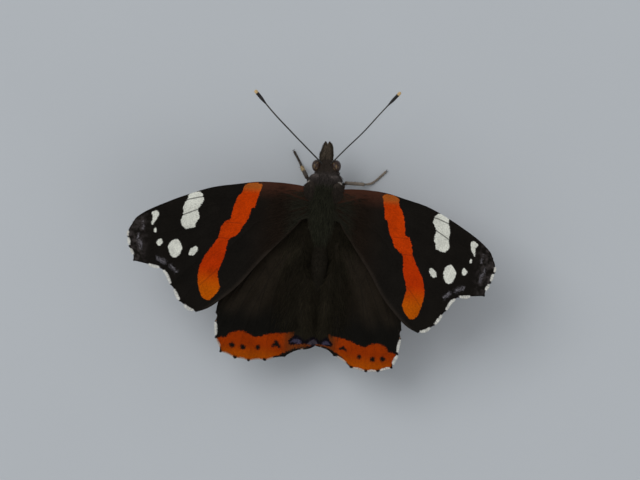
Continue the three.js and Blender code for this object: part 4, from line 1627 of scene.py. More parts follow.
@dataclass
class Forewing(Wing):
    """A forewing, with the red band and the white spots."""

    scallop_depth: float = 0.42
    costa_roll: float = 0.45
    costa_roll_width: float = 1.3
    costa_width: float = 1.7
    hair_brown: Colour = (0.026, 0.017, 0.0115)
    hair_olive: Colour = (0.03, 0.029, 0.02)

    word = "forewing"
    root = (2.9, 4.5, 9.3)
    rise = math.radians(12)
    trim = {Side.RIGHT: 0.32}
    bend = {Side.RIGHT: 0.45}
    trim_span = (26, 31.5)
    bend_span = (20, 32)
    scallops = (-0.6, 0.5, 0.6, 0.1, 1.0, 0.25, -0.6)
    costa = (
        (1, 10.0), (2.9, 10.3), (4.6, 10.5), (7.5, 10.6), (11, 10.4), (14.5, 9.7), (18.4, 8.85), (22.4, 7.3),
        (26, 5.65), (28.8, 4.2), (30.6, 2.9), (31.2, 2.0),
    )
    vein_ends = (
        (31.2, 2.0), (31.95, -0.4), (31.45, -2.2), (30.55, -4.5), (25.85, -5.3), (23.9, -7.9), (22.2, -10.5),
        (19.3, -12.1),
    )
    inner_margin = (
        (19.3, -12.1), (17.4, -11.3), (15.6, -9.9), (12.6, -7.0), (9.6, -3.0), (6.6, 0.6), (4.2, 3.4),
        (2.9, 5.0),
        (1, 5.4),
    )
    veins = {
        "subcosta": ((2.6, 8.0), (8.5, 9.6), (13, 9.5), (16.6, 9.2)),
        "radius1": ((12.3, 8.5), (16.5, 8.3), (20.6, 8.0)),
        "radius2": ((14.8, 7.6), (20.3, 7.0), (22.5, 6.4), (24.8, 6.15)),
        "radius3": ((23.6, 4.0), (26, 4.6), (28.0, 4.5)),
        "radius4": ((22.9, 3.85), (25.8, 3.5), (28.1, 2.75), (31.2, 2.0)),
        "radius5": (
            (2.6, 7.4), (8, 8.6), (12.3, 8.5), (16.5, 6.6), (20.6, 4.95), (22.9, 3.85), (27.9, 1.55),
            (31.95, -0.4),
        ),
        "media1": ((16.9, 5.2), (20.5, 2.9), (24, 1.3), (27, 0.15), (31.45, -2.2)),
        "media2": ((16.9, 3.9), (20.3, 1.9), (23.7, 0.35), (25.9, -1.2), (30.55, -4.5)),
        "media3": ((15.8, 2.2), (18.6, 1.1), (20.9, -0.6), (22.5, -2.3), (25.85, -5.3)),
        "cell_end": ((16.5, 6.6), (16.9, 5.2), (16.9, 3.9), (15.8, 2.2)),
        "cubitus1": (
            (2.6, 6.8), (7.5, 5.0), (10.8, 3.5), (13.6, 2.2), (17, -0.6), (20.6, -4.2), (23.9, -7.9),
        ),
        "cubitus1_fork": ((13.6, 2.2), (15.8, 2.2)),
        "cubitus2": ((10.8, 3.5), (14.8, -1.0), (18.6, -5.8), (22.2, -10.5)),
        "anal": ((2.6, 6.2), (7.5, 2.1), (13.5, -5.6), (19.3, -12.1)),
    }
    # Veins that show as dark lines in the white bar and in the band
    lines = (
        ((19.8, 7.1), (20.6, 6.95), (22.6, 6.35)), ((20.4, 5.05), (21.6, 4.5), (23.1, 3.75)),
        ((13.2, 3.25), (15.8, 3.2)), ((14.9, 0.5), (17.0, 0.6)), ((16.5, -4.7), (17.8, -6.1), (19.2, -7.6)),
    )
    white_fringe = dict.fromkeys(Side, (
        (0.67, 1, 0.7), (0.2, 0.85, 0.9), (0.15, 0.6, 0.9), (0.56, 0.96, 1), (0.2, 0.95, 1), (0.32, 0.95, 1),
        (0.28, 0.85, 1),
    ))
    band = (
        (12.95, 9.9), (13.5, 8.45), (14.05, 7.8), (14.55, 6.6), (14.95, 5.0), (15.15, 3.75), (15.95, 3.3),
        (16.5, 2.2), (16.8, 0.7), (17.25, -0.25), (18.0, -1.4), (18.8, -2.65), (19.45, -4.2), (19.65, -5.6),
        (19.55, -7.0), (19.25, -8.3), (18.75, -9.4), (17.9, -9.97), (17.25, -9.75), (16.5, -8.9),
        (15.95, -7.8),
        (16.2, -6.6), (16.4, -5.5), (16.35, -4.8), (15.95, -3.8), (15.5, -2.2), (15.3, -1.0), (15.15, 0.2),
        (14.5, 0.85), (13.5, 1.6), (13.0, 2.6), (12.5, 3.5), (12.1, 4.3), (11.9, 5.2), (11.65, 5.9),
        (11.2, 6.1),
        (11.0, 7.3), (10.7, 8.6), (10.5, 10.1),
    )
    white_spots = (
        ((21.2, 7.8), (20.55, 7.85), (20.05, 7.3), (19.8, 6.5), (20.2, 5.7), (20.55, 4.95), (20.35, 4.1),
         (20.35, 3.35),
         (20.75, 2.6), (20.8, 2.0), (21.5, 1.75), (22.3, 1.6), (22.95, 2.1), (23.2, 2.7), (23.05, 3.4),
         (22.95, 4.2),
         (23.0, 5.25), (22.55, 6.3), (22.35, 7.3)),
        ((26.9, 3.55), (27.25, 4.15), (28.05, 3.95), (28.25, 3.5), (27.95, 3.25), (27.97, 2.6), (27.95, 1.8),
         (27.4, 2.35), (27.1, 3.0)),
        ((23.55, -0.25), (24.3, -0.65), (24.85, -1.3), (24.8, -2.2), (24.45, -3.0), (23.8, -3.4),
         (23.1, -3.0),
         (22.7, -2.0), (22.8, -1.1)),
        ((20.4, -1.25), (20.1, -1.6), (20.3, -2.25), (20.8, -2.7), (21.4, -2.65), (21.42, -2.1),
         (21.15, -1.6)),
        ((26.3, -0.45), (25.92, -0.85), (26.0, -1.35), (26.3, -1.65), (26.7, -1.45), (26.8, -0.9)),
        ((27.3, 1.35), (27.48, 1.1), (27.48, 0.7), (27.3, 0.5), (27.15, 0.7), (27.18, 1.1)),
    )
    # Grey-blue strokes and half their width. A thin one is faint.
    blue_marks = (
        (((26.5, -3.7), (25.2, -4.35)), 0.14), (((24.2, -4.85), (23.3, -5.75)), 0.1),
        (((29.8, -1.0), (29.5, -2.2)), 0.08), (((29.5, 2.2), (29.3, 0.9)), -0.1),
        (((30.0, 0), (30.1, -0.85)), -0.04),
    )
    pattern_shift = 0.17
    cell_marks = ((((9.4, 7.0), (10.2, 5.4)), 0.3), (((13.0, 6.8), (13.4, 5.0)), 0.3))

    def camber(self, plan: Array) -> Array:
        """Adds the bend of the front edge to the camber."""
        behind = 10.6 - 0.015 * np.maximum(0, plan[:, 0] - 7.5) ** 2 - plan[:, 1]
        return super().camber(plan) - self.costa_roll * np.exp(-((behind / self.costa_roll_width) ** 2))

    def markings(self, plan: Array) -> dict[str, Array]:
        """Measures how deep places lie in the band, the spots and the blue marks.

        Args:
            plan: Places in the plan.

        Returns:
            The depths by name.
        """
        costa = self.costa_width - distance(plan, spline(self.costa))
        edge = distance(plan, spline(self.inner_margin))
        out = self.side.value * self.pattern_shift * smooth(27, 20, plan[:, 0])
        plan = plan - np.stack([out, 0 * out], axis=1)
        return {
            "Band": depth_inside(plan, self.band),
            "White": np.max([depth_inside(plan, shape) for shape in self.white_spots], axis=0),
            "Blue": depth_in_strokes(plan, self.blue_marks),
            "Cell": depth_in_strokes(plan, self.cell_marks),
            "Line": -depth_in_strokes(plan, [(line, 0.0) for line in self.lines]),
            "Costa": costa,
            "Edge": edge,
        }

    def finishes(self) -> tuple[Finish, Finish]:
        """Names the finish of the upper face and that of the underside."""
        return ForewingFinish("forewing_upper"), ForewingFinish("forewing_under", face=Face.UNDER)

    def hair(self) -> None:
        """Grows the hair at the forewing's root: olive beside the thorax, then brown."""
        self.base_hair(
            count=11000,
            length=(0.8, 1.6),
            keep=lambda plan: smooth(9.5, 3.0, plan[:, 0]) * smooth(10.0, 8.8, plan[:, 1]),
            aim=lambda plan: np.stack([np.ones(len(plan)), -0.25 - 0.05 * (8 - plan[:, 1])], axis=1),
            tint=lambda plan: blend(self.hair_brown, self.hair_olive, smooth(6.6, 3.4, plan[:, 0])[:, None]),
        )


@dataclass
class Hindwing(Wing):
    """A hindwing, with the red margin, folded down beside the abdomen."""

    scallop_depth: float = 0.2
    fold_depth: float = 1.2
    fold_width: float = 2.0
    clearance: float = 0.05
    overlap: float = 0.4
    overlap_height: float = 0.16
    tail_shift: float = 0.42
    hair_olive: Colour = (0.0225, 0.0185, 0.0115)
    columns: int = 200
    rows: int = 170

    word = "hindwing"
    root = (2.8, 0.5, 8.2)
    rise = math.radians(10)
    trim = {Side.LEFT: -0.28}
    trim_span = (12, 16)
    costa = (
        (1, 6.2), (2.8, 6.3), (5, 5.4), (8.5, 2.8), (12, -1.8), (14.5, -6.2), (15.6, -9.6), (15.95, -11.8),
    )
    vein_ends = (
        (15.95, -11.8), (16.0, -13.3), (15.8, -16.0), (14.95, -18.35), (12.6, -19.2), (10.35, -19.45),
        (7.6, -19.1),
        (4.4, -17.75), (1.6, -16.45),
    )
    inner_margin = (
        (1.6, -16.45), (0.6, -16.1), (0.1, -15.3), (0.1, -11.2), (0.35, -9.4), (0.8, -7.6), (1.4, -5),
        (1.5, -1),
        (1.4, 1.2), (1, 1.8),
    )
    veins = {
        "subcosta": ((2.6, 3.9), (8, 1.7), (12.5, -4.5), (15.95, -11.8)),
        "radius": ((6.6, 2.3), (11, -4.2), (14.3, -9.8), (16.0, -13.3)),
        "media1": ((9, -1.3), (12.6, -8), (15.8, -16)),
        "media2": ((8.6, -3.4), (12, -10), (14.95, -18.35)),
        "media3": ((7.9, -5.3), (10.6, -12), (12.6, -19.2)),
        "cubitus1": ((2.6, 2.6), (5.4, -1.4), (7.9, -5.3), (9.4, -12), (10.35, -19.45)),
        "cubitus2": ((5.4, -1.4), (7.1, -10), (7.6, -19.1)),
        "cell_end": ((9, -1.3), (8.6, -3.4), (7.9, -5.3)),
        "anal2": ((3.1, 1.2), (4.5, -7), (4.4, -17.75)),
        "anal3": ((2.9, 0.2), (2.75, -6), (2.2, -11.5), (1.6, -16.45)),
    }
    white_fringe = {
        Side.LEFT: (
            (0.9, 1, 0.3), (0.06, 0.85, 1), (0.05, 0.7, 0.45), (0.12, 0.88, 0.3), (0.12, 0.88, 0.3),
            (0.1, 0.88, 0.3), (0.08, 0.45, 0.3), (0.9, 1, 0.1),
        ),
        Side.RIGHT: (
            (0.9, 1, 0.3), (0.06, 0.85, 1), (0.06, 0.75, 1.1), (0.15, 0.85, 0.65), (0.15, 0.85, 0.6),
            (0.12, 0.85, 0.55), (0.3, 0.85, 0.5), (0.9, 1, 0.1),
        ),
    }
    red = (
        (16.4, -16.4), (15.9, -16.1), (15.1, -15.85), (14.2, -15.75), (13.5, -15.0), (12.4, -14.6),
        (11.1, -14.7),
        (9.8, -15.3), (8.6, -15.2), (7.2, -14.6), (5.4, -14.3), (3.8, -14.1), (3.1, -13.9), (3.25, -14.6),
        (3.95, -15.3), (3.9, -15.85), (3.2, -15.97), (1.9, -15.82), (0.9, -15.75), (0.9, -15.95),
        (1.9, -16.15),
        (3.2, -16.45), (4.3, -17.0), (5.4, -17.6), (6.6, -18.4), (8.0, -21.0), (16.0, -21.0), (17.0, -18.0),
    )
    red_spots = (((13.15, -17.0), 0.46), ((11.42, -17.22), 0.42), ((8.95, -17.02), 0.4))
    red_wedge = (
        (5.1, -16.5), (5.35, -16.05), (5.75, -15.7), (6.1, -15.55), (6.35, -15.95), (6.65, -16.5),
        (5.9, -16.45),
    )
    margin_spot = 0.3
    # Lines of the paler folds and half their width
    pale_folds = (
        (((2.3, -3.5), (2.0, -9.0), (1.5, -14.5)), 0.25), (((4.0, 0.5), (8.2, -6.2), (10.8, -13.0)), 0.5),
        (((4.6, 0.8), (10.4, -6.4), (13.8, -11.0)), 0.4),
    )
    blue_patches = (
        ((2.05, -15.6), (2.4, -15.2), (2.75, -14.95), (3.1, -15.15), (3.55, -15.6), (2.9, -15.68)),
        ((-0.6, -15.0), (0.4, -15.0), (0.85, -15.3), (1.15, -15.65), (0.5, -15.72), (-0.6, -15.72)),
    )
    eyespots = ((14.2, -12.4), (12.8, -13.9), (10.9, -14.6), (8.9, -14.5), (6.6, -13.9))

    def fold_depths(self, plan: Array) -> Array:
        """Measures how deep places lie in the pale folds, negative outside."""
        return depth_in_strokes(plan, self.pale_folds)

    def fold_edge(self, y: Array) -> Array:
        """Gives x of the inner margin, where the fold beside the abdomen ends."""
        return 0.2 + 1.5 * smooth(-11.5, -4, y)

    def camber(self, plan: Array) -> Array:
        """Adds the fold beside the abdomen to the camber."""
        down = 1 - smooth(0, self.fold_width, plan[:, 0] - self.fold_edge(plan[:, 1]))
        return super().camber(plan) - self.fold_depth * down * smooth(-3, 3, -plan[:, 1])

    def cleared(self, places: Array, plan: Array) -> Array:
        """Keeps the wing off the abdomen and off the other hindwing.

        Args:
            places: Body coordinates.
            plan: The same places in the plan.

        Returns:
            The cleared body coordinates.
        """
        places = places.copy()
        sign = self.side.value
        places[:, 1] += sign * self.tail_shift * smooth(8.5, 5, plan[:, 0]) * smooth(-15.4, -17.0, plan[:, 1])
        reach = abs(self.sweep) * np.maximum(0, self.root[1] - plan[:, 1])
        places[:, 0] += sign * reach * (1 - smooth(0, 4, plan[:, 0]))
        tail = self.body.table[0, 0]
        wide, high, centre = self.body.section(np.clip(places[:, 1], tail, 1.2))
        behind = smooth(tail + 0.5, tail - 0.5, places[:, 1])
        lift = (places[:, 2] - centre) / np.maximum(high + self.clearance, 1e-3)
        edge = (wide + self.clearance) * np.sqrt(np.clip(1 - lift**2, 0, 1))
        margin = np.asarray(self.inner_margin[2:])
        inner = np.interp(plan[:, 1], margin[:, 1], margin[:, 0])
        near = (1 - smooth(0, 3, plan[:, 0] - inner)) * smooth(1.8, 0.4, places[:, 1])
        places[:, 0] += sign * near * (edge * (1 - behind) - self.overlap * behind - inner)
        places[:, 2] -= sign * near * behind * self.overlap_height
        return places

    def markings(self, plan: Array) -> dict[str, Array]:
        """Measures how deep places lie in the red margin, its spots and the blue patches.

        Args:
            plan: Places in the plan.

        Returns:
            The depths by name.
        """
        margin_spots = [(end, self.margin_spot + self.fringe_inset) for end in self.vein_ends[2:-1]]
        spots = [radius - from_spot(plan, spot) for spot, radius in (*self.red_spots, *margin_spots)]
        spots.append(depth_inside(plan, self.red_wedge))
        return {
            "Red": depth_inside(plan, self.red),
            "Spots": np.max(spots, axis=0),
            "Blue": np.max([depth_inside(plan, shape) for shape in self.blue_patches], axis=0),
            "Eyespot": np.min([from_spot(plan, spot) for spot in self.eyespots], axis=0),
            "Fold": self.fold_depths(plan),
        }

    def finishes(self) -> tuple[Finish, Finish]:
        """Names the finish of the upper face and that of the underside."""
        return HindwingFinish("hindwing_upper"), HindwingFinish("hindwing_under", face=Face.UNDER)

    def hair_aim(self, plan: Array) -> Array:
        """Gives the way that the hair lies in the plan: back, and out where the wing is wider."""
        out = 0.15 + 0.03 * plan[:, 0] - 0.45 * smooth(3.0, 1.5, plan[:, 0])
        return np.stack([out, -np.ones(len(plan))], axis=1)

    def hair(self) -> None:
        """Grows the olive hair of the hindwing's inner third, paler along its folds."""
        olive = np.array(self.hair_olive)
        self.base_hair(
            count=16000,
            length=(1.0, 2.2),
            keep=lambda plan: smooth(7.5, 2.5, plan[:, 0]) * smooth(-14.5, -11.0, plan[:, 1]),
            aim=self.hair_aim,
            tint=lambda plan: olive * (1 + 0.6 * smooth(-0.8, 0.4, self.fold_depths(plan)))[:, None],
        )


# Head


@dataclass
class Eye:
    """A compound eye."""

    side: Side
    body: Body
    centre: Place = (1.6, 1.5, 0.15)
    size: Place = (0.86, 1.05, 1.15)
    shift: float = -0.14

    def build(self) -> None:
        """Makes the globe from a fine ball."""
        mesh = bmesh.new()
        bmesh.ops.create_icosphere(mesh, subdivisions=5, radius=1)
        globe = corners(mesh)
        centre = np.array(self.centre) * self.side.mirror + [self.shift, 0, 0]
        places = self.body.head_place(globe * np.array(self.size) + centre)
        made = to_object(f"compound_eye_{self.side.word}", mesh, places, EYE)
        carry(made, "Globe", globe * self.side.mirror)
        enrol(made, "eye", f"eye_{self.side.word}")


@dataclass
class Antenna:
    """A feeler with its ringed shaft and its club."""

    side: Side
    body: Body
    shaft: float = 0.125
    club: float = 0.31
    rings: int = 44
    ring_swell: float = 0.1
    end: float = 0.05
    black: Colour = (0.012, 0.010, 0.009)
    ring: Colour = (0.20, 0.18, 0.15)
    tip: Colour = (0.68, 0.47, 0.22)
    paths: ClassVar[Mapping[Side, Points]] = {
        Side.LEFT: (
            (0.6, 1.7, 0.9), (3.2, 4.35, 2.4), (6.0, 7.2, 3.65), (8.8, 10.1, 4.4), (11.85, 13.6, 4.8),
        ),
        Side.RIGHT: (
            (0.6, 1.7, 0.9), (3.6, 4.4, 2.6), (6.6, 7.15, 3.65), (9.6, 10.35, 4.5), (12.8, 13.8, 4.8),
        ),
    }

    def build(self) -> None:
        """Makes the feeler as one tube that swells at each joint."""
        path = self.body.head_place(spline(self.paths[self.side]) * self.side.mirror)
        share = np.linspace(0, 1, 400)
        radius = self.shaft * (1 + self.ring_swell * np.cos(2 * np.pi * self.rings * share))
        radius = radius * (1.6 - 0.6 * smooth(0.0, 0.03, share))
        swell = smooth(0.81, 0.91, share) * smooth(1.012, 0.985, share)
        radius = radius + (self.club - self.shaft) * swell
        radius[-1] = self.end
        radii = np.stack([share, radius], axis=1)
        made, along = tube(f"feeler_{self.side.word}", path, radii, CHITIN, sides=12, rings=220, flatten=0.85)
        along = along[:, None]
        joint = 0.5 + 0.5 * np.cos(2 * np.pi * self.rings * along)
        pale = (joint > 0.8) * smooth(0.86, 0.8, along) * (0.4 + 0.6 * smooth(0.6, 0.72, along))
        colour = blend(blend(self.black, self.ring, pale), self.tip, smooth(0.958, 0.968, along))
        carry(made, "Tint", colour, colour=True)
        enrol(made, "antenna", f"antenna_{self.side.word}")


@dataclass
class Palp:
    """One of the two palps that point forwards like a beak, and its scales."""

    side: Side
    body: Body
    path: Points = ((0.52, 2.1, -0.8), (0.56, 3.1, -0.65), (0.43, 4.2, -0.15), (0.34, 5.4, 0.5))
    radii: Points = ((0, 0.5), (0.3, 0.55), (0.65, 0.4), (0.93, 0.15), (1, 0.04))
    lean: float = -0.35
    count: int = 2200
    dark: Colour = (0.045, 0.033, 0.026)
    grey: Colour = (0.105, 0.083, 0.061)
    pale: Colour = (0.30, 0.26, 0.2)

    def build(self) -> None:
        """Makes the palp and covers it with scales and short hair."""
        path = spline(self.path) * self.side.mirror
        path[:, 0] += self.lean * smooth(5.2, 2.8, path[:, 1])
        path = self.body.head_place(path)
        made, along = tube(f"palp_core_{self.side.word}", path, self.radii, SKIN, sides=16, rings=40)
        carry(made, "Tint", self.tint(along, np.zeros(len(along))), colour=True)
        self.scales(path)
        enrol(made, "palp", f"palp_{self.side.word}")

    def tint(self, along: Array, up: Array) -> Array:
        """Colours the palp by share of its length and by how far it looks up: pale below, dark at the tip."""
        colour = blend(self.grey, self.dark, smooth(0.75, 1.0, along)[:, None])
        return blend(colour, self.pale, smooth(-0.1, -0.9, up)[:, None])

    def streaks(self, outwards: Array, rng: Rng) -> Array:
        """Gives factors that make outer scales darker and single inner ones pale."""
        shade = 0.95 - 0.5 * smooth(0.1, 0.8, outwards) + 0.3 * rng.random(self.count)
        return (shade + (1.2 - 0.9 * smooth(0.0, 0.6, outwards)) * (rng.random(self.count) > 0.72))[:, None]

    def scales(self, path: Array) -> None:
        """Grows the scales.

        Args:
            path: The palp's own path in body coordinates.
        """
        rng = np.random.default_rng(SEED + 40 + self.side.value)
        along, turn = rng.random(self.count) ** 0.8, rng.random(self.count)
        ahead, out = spokes(path, along, turn)
        radius = np.interp(along, *np.asarray(self.radii).T)[:, None]
        lift = vary(rng, (self.count, 1), 0.25, 0.35)
        hairs = Hairs(
            roots=walk(path, along) + out * (radius - 0.04),
            lie=unit(ahead + out * lift + rng.normal(0, 0.1, (self.count, 3))),
            droop=-out * 0.15 + ahead * 0.1,
            length=vary(rng, self.count, 0.35, 0.35) * (1 - 0.55 * smooth(0.7, 1.0, along)),
            width=0.07 * vary(rng, self.count, 0.6),
            tint=self.tint(along, out[:, 2]) * self.streaks(out[:, 0] * self.side.value, rng),
            unwrap=np.stack([turn, along], axis=1),
        )
        enrol(grow(f"palp_scales_{self.side.word}", hairs), "palp")


@dataclass
class Proboscis:
    """The coiled tongue below the head."""

    body: Body
    centre: Place = (0.0, 2.0, -2.95)
    stem: Points = ((0, 1.9, -0.9), (0, 1.95, -1.3))
    outer: float = 1.35
    inner: float = 0.4
    radius: float = 0.13
    turns: float = 2.75
    ridges: int = 95
    brown: Colour = (0.05, 0.03, 0.018)

    def build(self) -> None:
        """Makes the tongue as a tube along a spiral."""
        t = np.linspace(0, 1, 240)
        angle = math.pi / 2 - 2 * math.pi * self.turns * t
        reach = blend(self.outer, self.inner, t)
        spiral = np.stack([0 * t, reach * np.cos(angle), reach * np.sin(angle)], axis=1)
        path = self.body.head_place(np.vstack([self.stem, spiral + np.array(self.centre)]))
        radii = ((0, self.radius * 1.3), (0.15, self.radius), (0.9, self.radius * 0.75), (1, 0.05))
        made, along = tube("tongue_coil", path, radii, CHITIN, sides=12, rings=200)
        ridged = 0.5 + 0.5 * np.cos(2 * np.pi * self.ridges * along)[:, None]
        carry(made, "Tint", np.array(self.brown) * (0.7 + 0.6 * ridged), colour=True)
        enrol(made, "antenna", "proboscis")


# Legs


@dataclass(frozen=True)
class LegLook:
    """Thickness and colours of a leg."""

    coxa: float = 0.42
    femur: float = 0.27
    tibia: float = 0.3
    tarsus: float = 0.2
    claw: float = 0.35
    dark: Colour = (0.038, 0.03, 0.025)
    pale: Colour = (0.31, 0.26, 0.205)
    ankle: Colour = (0.31, 0.26, 0.205)
    horn: Colour = (0.03, 0.018, 0.01)


@dataclass(frozen=True)
class Bristles:
    """Hairs round one segment of a leg."""

    radius: float
    count: int
    length: Span
    width: float
    lift: float
    tint: Colour
    end_tint: Colour | None = None
    band: float = 0.0
    level: Place = (0.2, 0.1, 1.0)
    stray: float = 0.08
    shortest: float = 0.03

    def grown(self, line: Array, rng: Rng) -> Hairs:
        """Spreads the hairs, and keeps their tips off the floor.

        Args:
            line: The segment's path.
            rng: The random numbers.

        Returns:
            The hairs.
        """
        count = self.count
        along, turn = vary(rng, count, 0.04, 0.92), rng.random(count)
        ahead, out = spokes(line, along, turn, self.level)
        roots = walk(line, along) + out * self.radius * 0.85
        lie = unit(ahead + out * self.lift + rng.normal(0, self.stray, (count, 3)))
        reach = blend(*self.length, rng.random(count))
        room = np.where(lie[:, 2] < 0, roots[:, 2] / np.maximum(-lie[:, 2], 1e-3), 9.0) * 0.9
        colour = blend(self.tint, self.end_tint or self.tint, smooth(0.5, 0.68, along)[:, None])
        return Hairs(
            roots=roots,
            lie=lie,
            droop=ahead * 0.15,
            length=np.maximum(np.minimum(reach, room), self.shortest),
            width=self.width * vary(rng, count),
            tint=colour * vary(rng, (count, 1), 0.6, 0.8),
            unwrap=np.stack([turn, self.band + 0.3 * along], axis=1),
        )


@dataclass
class Leg:
    """A walking leg: its joints run from inside the thorax to the toes, on a right leg."""

    name: str
    side: Side
    joints: Points
    look: LegLook = LegLook()
    toes: tuple[float, ...] = (0.0, 0.42, 0.6, 0.74, 0.86, 1.0)

    def build(self) -> None:
        """Makes the leg in its segments, joined to one piece."""
        look = self.look
        joints = np.asarray(self.joints, float) * self.side.mirror
        joints[4:, 2] = look.tarsus
        foot = spline(joints[3:], steps=8)
        # Path of each segment, its thickness, where and what share of it each radius is, and how far its
        # colour has gone from dark to pale at both ends
        segments = [
            (joints[0:2], look.coxa, ((0, 1), (0.7, 0.8), (1, 0.5)), 0.4, 0.4),
            (joints[1:3], look.femur, ((0, 0.6), (0.2, 1), (0.75, 0.9), (1, 0.5)), 0.0, 0.85),
            (joints[2:4], look.tibia, ((0, 0.8), (0.1, 1), (0.9, 0.9), (1, 0.7)), 0.7, 1.0),
        ]
        for start, end in zip(self.toes, self.toes[1:]):
            run = walk(foot, np.linspace(start, end, 6))
            segments.append((run, look.tarsus, ((0, 0.75), (0.75, 1), (1, 0.85)), 0.9, 0.75))
        pieces = []
        for i, (line, thickness, shares, start, end) in enumerate(segments):
            radii = [(place, thickness * share) for place, share in shares]
            made, along = tube(f"{self.name}_{i}", line, radii, LEG_SCALES, sides=12, rings=18)
            tint = blend(look.dark, look.pale, blend(start, end, along)[:, None])
            if i == 2:
                bright = smooth(0.48, 0.6, along) * smooth(1.02, 0.94, along)
                tint = blend(tint, look.ankle, bright[:, None])
            tint = tint * (1 - 0.35 * smooth(0.12, 0.0, np.minimum(along, 1 - along)))[:, None]
            carry(made, "Tint", tint, colour=True)
            pieces.append(made)
        pieces += self.claws(foot)
        joined = join(pieces, f"{self.name}_shell")
        self.bristles(joints, foot)
        enrol(joined, "leg", self.name)

    def claws(self, foot: Array) -> list[Piece]:
        """Makes the two claws at the end of the foot.

        Args:
            foot: The foot's path.

        Returns:
            The claws.
        """
        look = self.look
        end = foot[-1]
        ahead = unit(foot[-1] - foot[-3])
        across = unit(np.cross(ahead, [0, 0, 1.0]))
        made = []
        for i, sign in enumerate((-1, 1)):
            out = across * sign
            points = [
                end,
                end + ahead * 0.12 + out * 0.08 + [0, 0, 0.05],
                end + ahead * 0.26 + out * 0.15 + [0, 0, 0.02],
                end + ahead * look.claw + out * 0.17 - [0, 0, look.tarsus - 0.03],
            ]
            path, radii = spline(points, steps=6), ((0, 0.05), (0.5, 0.04), (1, 0.012))
            claw, along = tube(f"{self.name}_claw_{i}", path, radii, LEG_SCALES, sides=8, rings=12)
            carry(claw, "Tint", np.tile(look.horn, (len(along), 1)), colour=True)
            made.append(claw)
        return made

    def bristles(self, joints: Array, foot: Array) -> None:
        """Grows the scales and spines of the leg.

        Args:
            joints: The leg's joints in body coordinates.
            foot: The foot's path.
        """
        look = self.look
        rng = np.random.default_rng(SEED + 60 + len(self.name) + self.side.value)
        thigh, shin = joints[1:3], joints[2:4]
        rows = (
            (thigh, Bristles(look.femur, 520, (0.18, 0.32), 0.06, 0.25, look.dark)),
            (shin, Bristles(look.tibia, 380, (0.14, 0.24), 0.045, 0.3, look.pale, look.ankle, band=0.45)),
            (shin, Bristles(look.tibia, 34, (0.34, 0.46), 0.045, 0.8, look.dark, band=0.9)),
            (foot, Bristles(look.tarsus, 240, (0.1, 0.16), 0.035, 0.4, look.pale, band=0.7)),
        )
        hairs = Hairs.merged([row.grown(line, rng) for line, row in rows])
        enrol(grow(f"{self.name}_bristles", hairs), "leg")


def join(pieces: Sequence[Piece], name: str) -> Piece:
    """Joins meshes into one piece.

    Args:
        pieces: The objects to join.
        name: The joined piece's name.

    Returns:
        The joined object.
    """
    with bpy.context.temp_override(active_object=pieces[0], selected_editable_objects=list(pieces)):
        bpy.ops.object.join()
    pieces[0].name = name
    return pieces[0]


@dataclass
class Foreleg:
    """A small brush-like foreleg, folded up below the chest."""

    side: Side
    joints: Points = ((0.7, 9.9, 5.9), (0.95, 11.2, 4.6), (0.95, 12.4, 4.7), (0.9, 13.4, 4.9))
    radii: Points = ((0, 0.26), (0.4, 0.3), (0.75, 0.2), (1, 0.12))
    brown: Colour = (0.09, 0.07, 0.05)
    brush: Bristles = Bristles(0.24, 900, (0.35, 0.7), 0.05, 0.35, (0.14, 0.11, 0.08))

    def build(self) -> None:
        """Makes the leg and its long hair."""
        path = spline(self.joints) * self.side.mirror
        made, along = tube(f"brush_leg_{self.side.word}", path, self.radii, LEG_SCALES, sides=14, rings=36)
        carry(made, "Tint", np.tile(self.brown, (len(along), 1)), colour=True)
        rng = np.random.default_rng(SEED + 80 + self.side.value)
        enrol(grow(f"brush_leg_{self.side.word}_hair", self.brush.grown(path, rng)), "leg")
        enrol(made, "leg", f"leg_fore_{self.side.word}")


RIGHT_SWEEP = math.radians(1.5)
WALKING_LEGS = (
    Leg("leg_mid_left", Side.LEFT, (
        (1.2, 7.6, 5.6), (1.7, 8.0, 4.2), (3.6, 11.9, 5.7), (5.7, 14.0, 0.7), (6.2, 14.8, 0.2),
        (7.3, 16.5, 0.2),
    ), LegLook(tibia=0.34, pale=(0.075, 0.058, 0.046), ankle=(0.4, 0.29, 0.15))),
    Leg("leg_mid_right", Side.RIGHT, (
        (1.2, 7.6, 5.6), (1.7, 8.0, 4.2), (2.7, 11.6, 5.3), (5.4, 11.8, 0.8), (6.7, 12.3, 0.2),
        (8.7, 14.3, 0.2),
    )),
    Leg("leg_hind_left", Side.LEFT, (
        (1.2, 4.2, 5.4), (1.8, 3.7, 4.2), (4.9, 0.8, 5.6), (6.8, -2.0, 0.7), (7.1, -2.7, 0.2),
        (7.9, -5.9, 0.2),
    )),
    Leg("leg_hind_right", Side.RIGHT, (
        (1.2, 4.2, 5.4), (1.8, 3.7, 4.2), (4.9, 0.7, 5.6), (6.7, -2.2, 0.7), (7.0, -2.9, 0.2),
        (7.6, -6.2, 0.2),
    )),
)


# Studio


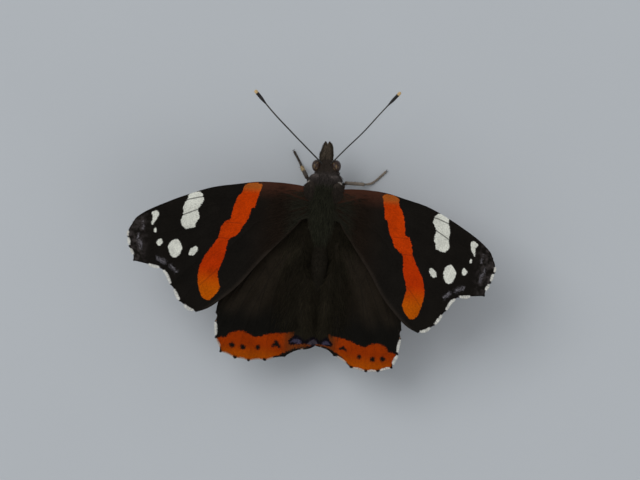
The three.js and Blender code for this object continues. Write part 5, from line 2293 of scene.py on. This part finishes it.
@dataclass
class Studio:
    """The floor, the light and the camera at the photo's angle."""

    tilt_right: float = math.radians(10.552)
    tilt_back: float = math.radians(1.897)
    roll: float = math.radians(4.976)
    aim: Place = (0.0, 0.0, 8.2)
    aim_right: float = 0.085
    aim_up: float = 1.656
    field_width: float = 106.667
    lens: float = 300.0
    sensor: float = 36.0
    floor_size: float = 3.0
    air: float = 0.48
    sky: Colour = (0.96, 0.98, 1.0)

    def axes(self) -> tuple[Vector, Vector, Vector]:
        """Finds the camera's directions.

        Returns:
            Its right, its up and its back.
        """
        x, y = math.sin(self.tilt_right), -math.sin(self.tilt_back)
        back = Vector((x, y, math.sqrt(1 - x * x - y * y)))
        level = Vector((0, 1, 0)).cross(back).normalized()
        upright = back.cross(level)
        right = level * math.cos(self.roll) + upright * math.sin(self.roll)
        up = upright * math.cos(self.roll) - level * math.sin(self.roll)
        return right, up, back

    def camera(self) -> None:
        """Sets the camera where the photograph was taken from."""
        right, up, back = self.axes()
        target = Vector(self.aim) + right * self.aim_right + up * self.aim_up
        reach = self.field_width * self.lens / self.sensor
        data = bpy.data.cameras.new("camera")
        data.lens = self.lens
        data.sensor_width = self.sensor
        data.clip_end = 20
        made = bpy.data.objects.new("camera", data)
        bpy.context.scene.collection.objects.link(made)
        place = Vector(to_metres(np.array(target + back * reach)))
        turn = Matrix((right, up, back)).transposed()
        made.matrix_world = Matrix.Translation(place) @ turn.to_4x4()
        bpy.context.scene.camera = made

    def floor(self) -> None:
        """Lays the floor."""
        mesh = bmesh.new()
        bmesh.ops.create_grid(mesh, x_segments=8, y_segments=8, size=self.floor_size / 2)
        data = bpy.data.meshes.new("floor")
        mesh.to_mesh(data)
        mesh.free()
        link("floor", data, FLOOR)

    def light(self, name: str, place: Place, size: float, power: float) -> None:
        """Hangs one soft square light that looks at the animal.

        Args:
            name: The light's name.
            place: Its place in metres.
            size: Its side in metres.
            power: Its power in watts.
        """
        data = bpy.data.lights.new(name, "AREA")
        data.size = size
        data.energy = power
        made = bpy.data.objects.new(name, data)
        bpy.context.scene.collection.objects.link(made)
        made.location = place
        made.rotation_euler = (-Vector(place)).to_track_quat("-Z", "Y").to_euler()
        made.visible_camera = False

    def build(self) -> None:
        """Sets up the whole studio."""
        scene = bpy.context.scene
        scene.view_settings.view_transform = "Standard"
        world = bpy.data.worlds.new("studio")
        world.use_nodes = True
        air = world.node_tree.nodes["Background"]
        air.inputs["Color"].default_value = (*self.sky, 1.0)
        air.inputs["Strength"].default_value = self.air
        scene.world = world
        self.floor()
        self.light("key", (-0.5, 0.45, 1.1), 0.9, 4.8)
        self.light("fill", (0.9, -0.7, 0.8), 1.0, 1.9)
        self.camera()


def main() -> None:
    """Builds the pieces in order and sets up the studio."""
    logging.basicConfig(level=logging.INFO, format="%(name)s: %(message)s")
    body = Body()
    body.skin()
    for coat in BODY_COATS:
        coat.build(body)
    for side in Side:
        sweep = RIGHT_SWEEP if side is Side.RIGHT else 0.0
        for wing in (Forewing(side, body, sweep), Hindwing(side, body, sweep)):
            wing.build()
            wing.fringe()
            wing.hair()
        for pad in PADS:
            pad.build(side)
        Eye(side, body).build()
        Antenna(side, body).build()
        Palp(side, body).build()
        Foreleg(side).build()
    Proboscis(body).build()
    for leg in WALKING_LEGS:
        leg.build()
    Studio().build()


if __name__ == "__main__":
    main()
